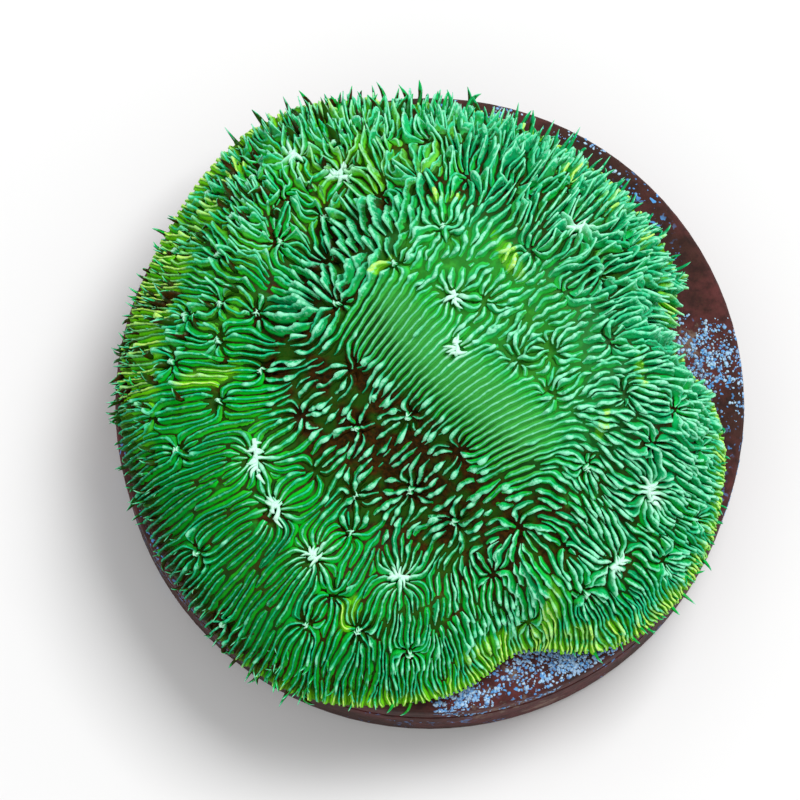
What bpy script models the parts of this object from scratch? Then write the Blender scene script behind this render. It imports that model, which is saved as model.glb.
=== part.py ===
"""A cactus coral (Pavona) colony encrusting a round ceramic frag disc.

The disc lies flat with the centre of its underside at the origin.  The colony covers nearly all of
its top: a ring-shaped apron rolls over towards a lobed margin, and an off-centre mound rises
inside it, steep behind and gentle in front.
"""
import math

import bmesh
import bpy

MM = 0.001
GAP = 0.3 * MM                      # clearance between the colony and its disc

# Frag disc, a turned piece
DISC_RADIUS = 15.875 * MM
DISC_THICKNESS = 6.35 * MM
DISC_RIM_ROUNDING = 0.5 * MM
DISC_STEP_HEIGHT = 4.1 * MM         # height of the wider foot below the rim's groove
DISC_GROOVE_DEPTH = 0.35 * MM
DISC_GROOVE_HEIGHT = 0.5 * MM
DISC_FOOT_CHAMFER = 0.6 * MM
DISC_STEPS = 96

# Colony margin seen from above: a shifted circle with lobes and notches.
# Each wave is a direction in degrees, how far it reaches out, and its half width in degrees.
MARGIN_RADIUS = 15.0 * MM
MARGIN_SHIFT = 0.7 * MM
MARGIN_SHIFT_DIRECTION = 175.0
MARGIN_WAVES = (
    (322.0, 1.75 * MM, 30.0),
    (245.0, 1.4 * MM, 24.0),
    (119.0, 1.25 * MM, 22.0),
    (42.0, -0.25 * MM, 20.0),
    (289.5, -1.5 * MM, 10.5),
    (12.0, -2.0 * MM, 11.0),
)

# Quantities that swing once round the colony: mean, swing, direction of the largest value.
ROLL_WIDTH = (4.1 * MM, 1.8 * MM, 200.0)        # how far the apron takes to roll over
CREST_HEIGHT = (4.6 * MM, 0.6 * MM, 130.0)      # the apron's crest above the disc
LIP_HEIGHT = (0.95 * MM, 0.25 * MM, 330.0)      # the margin's top edge above the disc
ROLL_ANGLE = (70.0, 12.0, 210.0)                # how far the roll turns, in degrees
# The margin flares out flat at its edge, but for one steep flank: flare, its direction, half width.
MARGIN_FLARE = 0.65
STEEP_FLANK = (212.0, 38.0)

# Inside the crest
MOAT_HEIGHT = 3.3 * MM              # floor of the dip between apron and mound
MOAT_SOFTNESS = 3.2 * MM
MOUND_TOP = 8.9 * MM
MOUND_TILT = 0.13                   # rise per length towards MOUND_TILT_DIRECTION
MOUND_TILT_DIRECTION = 50.0
# Sides of the mound: outward direction in degrees, distance of its shoulder, steepness.
MOUND_SIDES = (
    (142.0, 5.2 * MM, 1.5),
    (51.0, 7.2 * MM, 1.0),
    (0.0, 10.2 * MM, 1.5),
    (316.0, 8.8 * MM, 1.2),
    (231.0, 1.0 * MM, 0.85),
)
ROUNDING = 0.9 * MM                # radius that softens the mound's shoulders and foot

# Gentle swells over the whole top: direction in degrees, wavelength, height, phase in degrees.
SWELLS = (
    (20.0, 7.5 * MM, 0.16 * MM, 40.0),
    (100.0, 9.0 * MM, 0.18 * MM, 200.0),
    (155.0, 5.6 * MM, 0.10 * MM, 0.0),
)

# Thickness of the margin and the way its underside runs back to the disc
LIP_THICKNESS = 0.35 * MM
FOOT_INSET = 1.6 * MM
FOOT_MAX_RADIUS = 15.3 * MM

# Mesh rings of the colony, from the top pole to the pole of the underside
COLONY_SECTORS = 80
COLONY_RINGS = 38
TOP_RINGS = 28
UNDER_RINGS = 3


def swing(values, angle):
    """Value of a quantity that varies once round the colony, at an angle in radians."""
    mean, amount, direction = values
    return mean + amount * math.cos(angle - math.radians(direction))


def margin_radius(angle):
    """Distance of the colony's margin from the disc's axis."""
    radius = MARGIN_RADIUS + MARGIN_SHIFT * math.cos(angle - math.radians(MARGIN_SHIFT_DIRECTION))
    for direction, reach, half_width in MARGIN_WAVES:
        turn = math.degrees(angle) - direction
        turn = (turn + 180.0) % 360.0 - 180.0
        radius += reach * math.exp(-(turn / half_width) ** 2)
    return radius


def soft_lowest(heights):
    """Lowest of several heights, with the corners between them rounded."""
    floor = min(heights)
    total = sum(math.exp((floor - height) / ROUNDING) for height in heights)
    return floor - ROUNDING * math.log(total)


def mound_height(x, y):
    """Height of the mound's own shape above the disc, before it meets the apron."""
    tilt = math.radians(MOUND_TILT_DIRECTION)
    rise = MOUND_TILT * (x * math.cos(tilt) + y * math.sin(tilt))
    heights = [MOUND_TOP + rise]
    for direction, distance, steepness in MOUND_SIDES:
        turn = math.radians(direction)
        past_shoulder = x * math.cos(turn) + y * math.sin(turn) - distance
        heights.append(MOUND_TOP + rise - steepness * past_shoulder)
    return soft_lowest(heights)


def swell_height(x, y):
    """Height of the gentle swells at a place."""
    height = 0.0
    for direction, wavelength, amount, phase in SWELLS:
        turn = math.radians(direction)
        along = x * math.cos(turn) + y * math.sin(turn)
        height += amount * math.sin(math.tau * along / wavelength + math.radians(phase))
    return height


def crest_radius(angle):
    """Distance of the apron's crest from the disc's axis."""
    return margin_radius(angle) - swing(ROLL_WIDTH, angle)


def top_height(x, y):
    """Height of the colony above the disc, before the margin rolls over."""
    angle = math.atan2(y, x)
    crest = swing(CREST_HEIGHT, angle)
    inside = max(crest_radius(angle) - math.hypot(x, y), 0.0)
    apron = MOAT_HEIGHT + (crest - MOAT_HEIGHT) * math.exp(-(inside / MOAT_SOFTNESS) ** 2)
    return -soft_lowest([-apron, -mound_height(x, y)]) + swell_height(x, y)


def flare_share(angle):
    """How much the margin's edge flares out flat instead of rolling over."""
    direction, half_width = STEEP_FLANK
    turn = (math.degrees(angle) - direction + 180.0) % 360.0 - 180.0
    return MARGIN_FLARE * (1 - math.exp(-(turn / half_width) ** 2))


def roll_length(angle):
    """Length of the rolled-over margin, measured along its surface."""
    drop = swing(CREST_HEIGHT, angle) - swing(LIP_HEIGHT, angle)
    return 1.08 * math.hypot(swing(ROLL_WIDTH, angle), drop)


def top_point(share, angle):
    """Point of the upper surface, from the middle (share 0) to the margin (share 1)."""
    crest = crest_radius(angle)
    length = roll_length(angle)
    travel = share * (crest + length)
    cos_a, sin_a = math.cos(angle), math.sin(angle)
    if travel <= crest:
        x, y = travel * cos_a, travel * sin_a
        return x, y, DISC_THICKNESS + top_height(x, y)
    full_turn = math.radians(swing(ROLL_ANGLE, angle))
    rolled = (travel - crest) / length
    turn = full_turn * rolled
    flare = flare_share(angle)
    out = (1 - flare) * math.sin(turn) / math.sin(full_turn) + flare * rolled
    down = ((1 - flare) * (1 - math.cos(turn)) / (1 - math.cos(full_turn))
            + flare * rolled ** 2 * (3 - 2 * rolled))
    radius = crest + swing(ROLL_WIDTH, angle) * out
    x, y = radius * cos_a, radius * sin_a
    height = top_height(x, y)
    return x, y, DISC_THICKNESS + height - (height - swing(LIP_HEIGHT, angle)) * down


def underside_point(ring, angle):
    """Point of the underside: the margin's lower edge, the slope back to the foot, the flat."""
    lip_radius = margin_radius(angle)
    foot_radius = min(lip_radius - FOOT_INSET, FOOT_MAX_RADIUS)
    bed = DISC_THICKNESS + GAP
    edge = max(DISC_THICKNESS + swing(LIP_HEIGHT, angle) - LIP_THICKNESS, bed)
    if ring < UNDER_RINGS:
        share = ring / UNDER_RINGS
        radius = lip_radius + (foot_radius - lip_radius) * share
        return radius * math.cos(angle), radius * math.sin(angle), edge + (bed - edge) * share ** 2
    flat_rings = COLONY_RINGS - TOP_RINGS - 1 - UNDER_RINGS
    radius = foot_radius * (1 - (ring - UNDER_RINGS) / flat_rings)
    return radius * math.cos(angle), radius * math.sin(angle), bed


def colony_mesh():
    """A sphere whose upper rings become the colony's top and whose lower rings its underside."""
    bm = bmesh.new()
    bmesh.ops.create_uvsphere(bm, u_segments=COLONY_SECTORS, v_segments=COLONY_RINGS, radius=1.0)
    for vert in bm.verts:
        ring = round(math.acos(max(-1.0, min(1.0, vert.co.z))) / math.pi * COLONY_RINGS)
        angle = math.atan2(vert.co.y, vert.co.x)
        if ring <= TOP_RINGS:
            vert.co = top_point(ring / TOP_RINGS, angle)
        else:
            vert.co = underside_point(ring - TOP_RINGS - 1, angle)
    mesh = bpy.data.meshes.new("coral_colony")
    bm.to_mesh(mesh)
    bm.free()
    return mesh


def disc_profile():
    """Half section of the disc, from the middle of its top down its outer side to the axis."""
    points = [(0.0, DISC_THICKNESS)]
    for step in range(5):
        turn = math.radians(90.0 - 22.5 * step)
        points.append((DISC_RADIUS - DISC_RIM_ROUNDING * (1 - math.cos(turn)),
                       DISC_THICKNESS - DISC_RIM_ROUNDING * (1 - math.sin(turn))))
    groove_top = DISC_STEP_HEIGHT + DISC_GROOVE_HEIGHT
    points += [
        (DISC_RADIUS, groove_top),
        (DISC_RADIUS - DISC_GROOVE_DEPTH, groove_top - 0.3 * DISC_GROOVE_HEIGHT),
        (DISC_RADIUS - DISC_GROOVE_DEPTH, DISC_STEP_HEIGHT + 0.3 * DISC_GROOVE_HEIGHT),
        (DISC_RADIUS, DISC_STEP_HEIGHT),
        (DISC_RADIUS, DISC_FOOT_CHAMFER),
        (DISC_RADIUS - DISC_FOOT_CHAMFER, 0.0),
        (0.0, 0.0),
    ]
    return points


def disc_mesh():
    """The disc's half section as a chain of edges, ready to be turned."""
    bm = bmesh.new()
    verts = [bm.verts.new((radius, 0.0, height)) for radius, height in disc_profile()]
    for upper, lower in zip(verts, verts[1:]):
        bm.edges.new((upper, lower))
    mesh = bpy.data.meshes.new("frag_disc")
    bm.to_mesh(mesh)
    bm.free()
    return mesh


def turn_profile(obj, steps):
    """Spin an object's profile round the vertical axis."""
    screw = obj.modifiers.new("turned", "SCREW")
    screw.steps = steps
    screw.render_steps = steps
    screw.use_merge_vertices = True
    screw.merge_threshold = 0.00005
    screw.use_smooth_shade = True


def principled(name, color, roughness):
    """A plain Principled material."""
    material = bpy.data.materials.new(name)
    material.use_nodes = True
    shader = material.node_tree.nodes["Principled BSDF"]
    shader.inputs["Base Color"].default_value = (*color, 1.0)
    shader.inputs["Roughness"].default_value = roughness
    shader.inputs["Metallic"].default_value = 0.0
    return material


def add_piece(name, mesh, material, collection):
    """Link a mesh to the object's collection as one named sub-part."""
    obj = bpy.data.objects.new(name, mesh)
    mesh.materials.append(material)
    collection.objects.link(obj)
    return obj


def build():
    """Model the colony and its disc."""
    for obj in list(bpy.data.objects):
        bpy.data.objects.remove(obj, do_unlink=True)
    collection = bpy.data.collections.new("pavona_coral")
    bpy.context.scene.collection.children.link(collection)

    skin = principled("coral_skin", (0.03, 0.42, 0.12), 0.45)
    colony = add_piece("coral_colony", colony_mesh(), skin, collection)
    colony.data.shade_smooth()

    ceramic = principled("crusted_ceramic", (0.33, 0.16, 0.14), 0.8)
    disc = add_piece("frag_disc", disc_mesh(), ceramic, collection)
    turn_profile(disc, DISC_STEPS)


build()
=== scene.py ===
"""The looks of a cactus coral colony grown over a round ceramic frag disc.

Laid out as an add-on: property groups hold the sizes and colours, one operator makes each group of
pieces, and a sidebar panel lists them.  Run as a script, it makes everything in order.
"""

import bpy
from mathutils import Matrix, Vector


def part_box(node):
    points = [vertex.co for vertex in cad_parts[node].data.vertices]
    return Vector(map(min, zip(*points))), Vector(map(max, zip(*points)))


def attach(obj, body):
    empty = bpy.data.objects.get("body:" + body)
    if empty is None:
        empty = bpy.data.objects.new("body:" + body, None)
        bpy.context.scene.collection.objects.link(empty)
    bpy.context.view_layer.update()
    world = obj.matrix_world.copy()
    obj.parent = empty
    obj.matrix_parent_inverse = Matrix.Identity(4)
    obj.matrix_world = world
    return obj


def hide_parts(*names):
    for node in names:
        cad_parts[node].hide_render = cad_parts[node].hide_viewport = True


bl_info = {
    "name": "Pavona Coral Colony",
    "version": (1, 0, 0),
    "blender": (4, 5, 0),
    "location": "View3D > Sidebar > Coral",
    "description": "Models a ridged cactus coral colony and the crusted disc that it grew on",
    "category": "Add Mesh",
}

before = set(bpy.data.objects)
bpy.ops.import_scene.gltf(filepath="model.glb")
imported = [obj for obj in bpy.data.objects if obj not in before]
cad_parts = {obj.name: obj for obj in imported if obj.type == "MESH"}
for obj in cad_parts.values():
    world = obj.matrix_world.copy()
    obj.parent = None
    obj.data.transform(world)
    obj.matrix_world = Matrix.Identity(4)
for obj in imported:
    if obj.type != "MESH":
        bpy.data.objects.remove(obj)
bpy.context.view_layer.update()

import math

import bmesh
import bpy
import numpy as np
from bpy.props import FloatProperty, FloatVectorProperty, IntProperty, PointerProperty
from mathutils import Vector

MM = 0.001
BODY = "root"

# ------------------------------------------------------------------ form of the colony
# These sizes are the CAD model's own.
DISC_RADIUS = 15.875 * MM
DISC_THICKNESS = float(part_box("frag_disc")[1][2])
DISC_RIM_ROUNDING = 0.5 * MM
MARGIN_RADIUS = 15.0 * MM
MARGIN_SHIFT = 0.7 * MM
MARGIN_SHIFT_DIRECTION = 175.0
# Lobes and notches of the margin: direction in degrees, reach, half width in degrees.
MARGIN_WAVES = (
    (322.0, 1.75 * MM, 30.0),
    (245.0, 1.4 * MM, 24.0),
    (119.0, 1.25 * MM, 22.0),
    (42.0, -0.25 * MM, 20.0),
    (289.5, -1.5 * MM, 10.5),
    (12.0, -2.0 * MM, 11.0),
)
# Quantities that swing once round the colony: mean, swing, direction of the largest value.
ROLL_WIDTH = (4.1 * MM, 1.8 * MM, 200.0)
CREST_HEIGHT = (4.6 * MM, 0.6 * MM, 130.0)
LIP_HEIGHT = (0.95 * MM, 0.25 * MM, 330.0)
ROLL_ANGLE = (70.0, 12.0, 210.0)
# How much longer the rolled margin is than the straight line across it.
ROLL_BULGE = 1.08
# How far the margin spreads flat instead of rolling under, except on the one steep flank: direction
# and half width of that flank in degrees.
MARGIN_FLARE = 0.65
STEEP_FLANK = (212.0, 38.0)
MOAT_HEIGHT = 3.3 * MM
MOAT_SOFTNESS = 3.2 * MM
MOUND_TOP = 8.9 * MM
MOUND_TILT = 0.13
MOUND_TILT_DIRECTION = 50.0
# Sides of the mound: outward direction in degrees, distance of its shoulder, steepness.
MOUND_SIDES = (
    (142.0, 5.2 * MM, 1.5),
    (51.0, 7.2 * MM, 1.0),
    (0.0, 10.2 * MM, 1.5),
    (316.0, 8.8 * MM, 1.2),
    (231.0, 1.0 * MM, 0.85),
)
ROUNDING = 0.9 * MM
# Gentle swells: direction in degrees, wavelength, height, phase in degrees.
SWELLS = (
    (20.0, 7.5 * MM, 0.16 * MM, 40.0),
    (100.0, 9.0 * MM, 0.18 * MM, 200.0),
    (155.0, 5.6 * MM, 0.10 * MM, 0.0),
)
LIP_THICKNESS = 0.35 * MM
FOOT_INSET = 1.6 * MM
FOOT_MAX_RADIUS = 15.3 * MM

# Corallites given one by one: x, y, and how strongly its ridges spread (2 and more is a bright star).
CORALLITES = (
    (-8.6, -3.9, 3.0), (-7.7, -6.4, 2.6), (-5.7, -4.5, 1.4), (-5.7, -8.8, 2.0),
    (-1.5, -9.8, 2.4), (1.1, 3.2, 2.0), (1.2, 0.7, 2.2), (-6.7, 11.4, 2.0),
    (-4.5, 10.4, 2.4), (10.8, -5.9, 2.4), (9.1, -9.2, 2.2), (7.3, 7.0, 2.2),
    (-6.4, -1.9, 1.0), (-3.7, -5.7, 1.2), (-3.9, -7.5, 1.2), (-4.8, -10.6, 1.2),
    (-5.9, -11.7, 0.8), (-3.5, -12.2, 1.0), (-1.0, -13.2, 1.0), (-13.2, -1.4, 1.2),
    (-11.8, -3.2, 1.0), (-10.8, -7.9, 1.2), (-10.3, -1.0, 1.0), (-12.4, 1.1, 1.0),
    (-7.5, 7.0, 1.0), (-10.4, 6.3, 1.2), (-11.9, 3.3, 1.4), (-10.3, 3.8, 1.0),
    (-8.6, 3.3, 1.0), (-10.4, 2.0, 1.2), (0.6, 6.6, 1.2), (4.2, 0.1, 1.4),
    (5.9, 0.5, 1.0), (5.8, -1.6, 1.2), (2.6, 3.1, 1.2), (1.3, -4.1, 1.0),
    (11.0, -3.8, 1.2), (12.1, -1.9, 1.2), (7.6, -10.6, 1.2), (1.1, -7.2, 1.0),
    (-1.0, -5.6, 1.2), (4.2, 9.3, 0.9), (4.9, 5.6, 0.8), (8.4, 4.6, 0.9), (9.8, 6.5, 0.9),
    (11.4, 4.2, 0.8), (6.6, 3.4, 0.8), (7.0, 9.8, 0.8), (-0.5, 9.6, 0.9), (-2.3, 12.2, 0.8),
    (2.4, 12.0, 0.8),
)
STAR_STRENGTH = 2.0

# The smooth band on the mound's gentle side, where long ridges run downhill side by side: its ends,
# half width, and the ridges' direction in degrees at each end.
BAND_START = complex(-3.4, 3.4)
BAND_END = complex(5.6, -4.6)
BAND_HALF_WIDTH = 1.9
BAND_ANGLES = (56.0, 18.0)
# Fresh growth by itself: centre, half length, half width, turn.
LIME_SPOTS = (
    ((5.8, -11.6), 2.2, 0.55, 92.0), ((3.4, -12.6), 2.6, 0.7, 20.0), ((8.2, -12.0), 2.4, 0.6, 5.0),
    ((-2.5, 4.9), 0.8, 0.25, 35.0), ((0.7, 8.3), 1.3, 0.3, 0.0), ((3.8, 5.2), 1.5, 0.5, -60.0),
    ((10.2, -0.4), 1.1, 0.3, 95.0), ((8.3, -3.2), 0.8, 0.3, 70.0), ((-11.2, 8.6), 1.7, 0.9, 45.0),
    ((-12.8, 5.6), 1.8, 1.0, 60.0), ((-13.7, 2.8), 2.2, 1.0, 85.0), ((-10.9, 0.3), 1.8, 0.7, 10.0),
    ((-5.4, 14.0), 1.6, 0.9, 20.0), ((-4.0, -11.4), 1.2, 0.5, 70.0), ((-9.6, 11.2), 1.2, 0.6, 45.0),
    ((6.9, 10.2), 0.8, 0.45, -30.0), ((8.8, 8.6), 1.0, 0.4, -45.0), ((10.4, 6.8), 0.9, 0.4, -60.0),
    ((11.6, 4.4), 1.1, 0.45, -75.0),
)
# Round the mound the ridges keep to the band's direction: centre, half length, half width, turn.
MOUND_FLOW = ((2.4, -1.2), 9.5, 7.0, -40.0)
# Patches of the surface with their own kind of teeth: centre, half length, half width, turn.
GRAIN_PATCH = ((-0.8, -4.4), 8.2, 3.6, -38.0)
RUST_PATCH = ((-3.1, -2.1), 6.2, 2.2, -40.0)
MOAT_PATCH = ((-4.4, 5.2), 5.0, 2.2, 48.0)
BLADE_PATCH = ((8.6, 7.4), 9.5, 4.4, -42.0)
PALE_TOP = ((3.6, 1.6), 7.8, 4.4, -43.0)
TOOTH_PATCH = ((6.0, -8.2), 7.0, 3.0, 55.0)


def swing(values, angle):
    """Value of a quantity that varies once round the colony."""
    mean, amount, direction = values
    return mean + amount * np.cos(angle - math.radians(direction))


def turn_from(direction, angle):
    """Degrees from a direction round to an angle, between -180 and 180."""
    return (np.degrees(angle) - direction + 180.0) % 360.0 - 180.0


def towards(angle, direction, half_width):
    """How nearly an angle points in a direction: 1 there, fading to 0 on both sides."""
    return np.exp(-(turn_from(direction, angle) / half_width) ** 2)


def reach_towards(x, y, direction):
    """How far a point of the plan lies in a direction given in degrees."""
    turn = math.radians(direction)
    return x * math.cos(turn) + y * math.sin(turn)


def round_axis(radius, angle, height):
    """Points given by their distance from the disc's axis, their angle round it and their height."""
    return np.stack((radius * np.cos(angle), radius * np.sin(angle), height), axis=-1)


def margin_radius(angle):
    """Distance of the colony's margin from the disc's axis."""
    radius = MARGIN_RADIUS + MARGIN_SHIFT * np.cos(angle - math.radians(MARGIN_SHIFT_DIRECTION))
    for direction, reach, half_width in MARGIN_WAVES:
        radius = radius + reach * towards(angle, direction, half_width)
    return radius


def soft_lowest(heights):
    """Lowest of several heights, with the corners between them rounded."""
    stack = np.stack(heights) / ROUNDING
    floor = stack.min(axis=0)
    return ROUNDING * (floor - np.log(np.exp(floor - stack).sum(axis=0)))


def mound_height(x, y):
    """Height of the mound's own shape above the disc, before it meets the apron."""
    top = MOUND_TOP + MOUND_TILT * reach_towards(x, y, MOUND_TILT_DIRECTION)
    sides = [top - steepness * (reach_towards(x, y, direction) - distance)
             for direction, distance, steepness in MOUND_SIDES]
    return soft_lowest([top, *sides])


def swell_height(x, y):
    """Height of the gentle swells at a place."""
    height = 0.0
    for direction, wavelength, amount, phase in SWELLS:
        turn = math.tau * reach_towards(x, y, direction) / wavelength + math.radians(phase)
        height = height + amount * np.sin(turn)
    return height


def crest_radius(angle):
    """Distance of the apron's crest from the disc's axis."""
    return margin_radius(angle) - swing(ROLL_WIDTH, angle)


def top_height(x, y):
    """Height of the colony above the disc, before the margin rolls over."""
    angle = np.arctan2(y, x)
    crest = swing(CREST_HEIGHT, angle)
    inside = np.maximum(crest_radius(angle) - np.hypot(x, y), 0.0)
    apron = MOAT_HEIGHT + (crest - MOAT_HEIGHT) * np.exp(-(inside / MOAT_SOFTNESS) ** 2)
    return -soft_lowest([-apron, -mound_height(x, y)]) + swell_height(x, y)


def roll_length(angle):
    """Length of the rolled-over margin, measured along its surface."""
    drop = swing(CREST_HEIGHT, angle) - swing(LIP_HEIGHT, angle)
    return ROLL_BULGE * np.hypot(swing(ROLL_WIDTH, angle), drop)


def full_travel(angle):
    """Distance along the surface from the middle to the margin."""
    return crest_radius(angle) + roll_length(angle)


def surface_point(place):
    """Point of the smooth top.

    A place is a complex number: its size is how far along the surface it lies, its angle which way.
    """
    travel, angle = np.abs(place), np.angle(place)
    crest, length = crest_radius(angle), roll_length(angle)
    full_turn = np.radians(swing(ROLL_ANGLE, angle))
    rolled = np.maximum(travel - crest, 0.0) / length
    turn = full_turn * rolled
    flare = MARGIN_FLARE * (1 - towards(angle, *STEEP_FLANK))
    out = (1 - flare) * np.sin(turn) / np.sin(full_turn) + flare * rolled
    down = ((1 - flare) * (1 - np.cos(turn)) / (1 - np.cos(full_turn))
            + flare * rolled ** 2 * (3 - 2 * rolled))
    radius = np.where(travel < crest, travel, crest + swing(ROLL_WIDTH, angle) * out)
    x, y = radius * np.cos(angle), radius * np.sin(angle)
    height = top_height(x, y)
    drop = (height - swing(LIP_HEIGHT, angle)) * down
    return np.stack((x, y, DISC_THICKNESS + height - drop), axis=-1)


def surface_normal(place):
    """Outward direction of the smooth top."""
    step = 0.04 * MM
    along_x = surface_point(place + step) - surface_point(place - step)
    along_y = surface_point(place + 1j * step) - surface_point(place - 1j * step)
    return unit(np.cross(along_x, along_y))


def surface_frame(place):
    """Points along rows of places, with the directions out of the surface, along and across."""
    point, normal = surface_point(place), surface_normal(place)
    along = unit(np.gradient(point, axis=1))
    return point, normal, along, unit(np.cross(along, normal))


def place_of(x, y):
    """Surface place above a point of the plan."""
    radius, angle = np.hypot(x, y), np.arctan2(y, x)
    crest = crest_radius(angle)
    share = np.clip((radius - crest) / swing(ROLL_WIDTH, angle), 0.0, 1.0)
    rolled = crest + roll_length(angle) * share
    return np.where(radius < crest, radius, rolled) * np.exp(1j * angle)


def unit(vectors):
    """Vectors scaled to length one."""
    return vectors / np.maximum(np.linalg.norm(vectors, axis=-1, keepdims=True), 1e-12)


def smooth_step(low, high, value):
    """Rise smoothly from 0 at low to 1 at high."""
    share = np.clip((value - low) / (high - low), 0.0, 1.0)
    return share * share * (3 - 2 * share)


# ------------------------------------------------------------------ zones of the surface
def band_share(place):
    """How much a place belongs to the smooth band, and the direction of its ridges there."""
    start, end = BAND_START * MM, BAND_END * MM
    length = abs(end - start)
    local = (place - start) / ((end - start) / length)
    along = local.real / length
    across = local.imag / (BAND_HALF_WIDTH * MM)
    share = np.exp(-across ** 4) * smooth_step(-0.10, 0.12, along) * smooth_step(1.12, 0.9, along)
    first, last = BAND_ANGLES
    return share, np.radians(first + (last - first) * np.clip(along, 0.0, 1.0))


def oval_share(place, centre, half_length, half_width, turn):
    """Soft oval patch on the surface: 1 inside it, fading to 0 outside."""
    local = (place - complex(*centre) * MM) * np.exp(-1j * math.radians(turn))
    reach = np.hypot(local.real / (half_length * MM), local.imag / (half_width * MM))
    return smooth_step(1.35, 0.65, reach)


def patch_share(place, patch):
    """How much a place belongs to an oval patch, with the smooth band left out of it."""
    return oval_share(place, *patch) * (1 - band_share(place)[0])


def side_share(place, direction, half_width):
    """How much a place lies towards a direction, seen from the disc's axis."""
    return towards(np.angle(place), direction, half_width)


def sector_share(place, direction, half_width, inner, outer):
    """A side of the colony, fading in between an inner and an outer distance from the middle."""
    return side_share(place, direction, half_width) * smooth_step(inner * MM, outer * MM,
                                                                  np.abs(place))


def strongest(place, zones):
    """Strongest of several zones at a place, each scaled by its own amount."""
    return np.maximum.reduce([amount * share(place) for share, amount in zones])


def grain_share(place):
    """The low ground in front of the mound, where teeth stand apart like grains."""
    return patch_share(place, GRAIN_PATCH)


def tooth_share(place):
    """The foot of the mound's steep side, crowded with short pale teeth."""
    return patch_share(place, TOOTH_PATCH) * (1 - grain_share(place))


def moat_share(place):
    """The dark moat behind the mound, full of leaf-like blades."""
    return patch_share(place, MOAT_PATCH)


def blade_share(place):
    """The mound's far side, where the ridges stand up as tall pale blades."""
    return oval_share(place, *BLADE_PATCH)


def fin_share(place):
    """The apron behind the mound, where teeth are pointed fins."""
    apron = smooth_step(8.0 * MM, 10.0 * MM, np.abs(place))
    inner = smooth_step(0.3 * MM, 1.4 * MM, margin_distance(place))
    return side_share(place, 110.0, 56.0) * apron * inner * (1 - 0.85 * comb_share(place))


def comb_share(place):
    """The outer apron on the left, with fine ridges side by side like the teeth of a comb."""
    outer = smooth_step(4.6 * MM, 3.0 * MM, margin_distance(place))
    return side_share(place, 163.0, 30.0) * outer


def calm_share(place):
    """The steep apron, with long smooth ridges."""
    return np.maximum(sector_share(place, 208.0, 70.0, 6.5, 9.0), 0.9 * comb_share(place))


def right_share(place):
    """The apron on the mound's steep side, with long narrow teeth."""
    return sector_share(place, 342.0, 44.0, 7.5, 9.5)


def low_share(place):
    """The apron on the side of the valley's mouth, with fine ridges running down to the margin."""
    return sector_share(place, 275.0, 45.0, 7.5, 9.5)


def top_share(place):
    """The pale top of the mound beside its smooth band."""
    return patch_share(place, PALE_TOP)


def whole_top_share(place):
    """The top of the mound with its smooth band."""
    return oval_share(place, *PALE_TOP)


def rust_patch_share(place):
    """The brownest tissue, in front of the smooth band."""
    return oval_share(place, *RUST_PATCH)


def margin_distance(place):
    """Distance along the surface to the margin."""
    return full_travel(np.angle(place)) - np.abs(place)


# ------------------------------------------------------------------ corallites and ridge lines
def run_along(line):
    """Distance of each point of a line from its start."""
    return np.concatenate(([0.0], np.cumsum(np.abs(np.diff(line)))))


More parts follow.
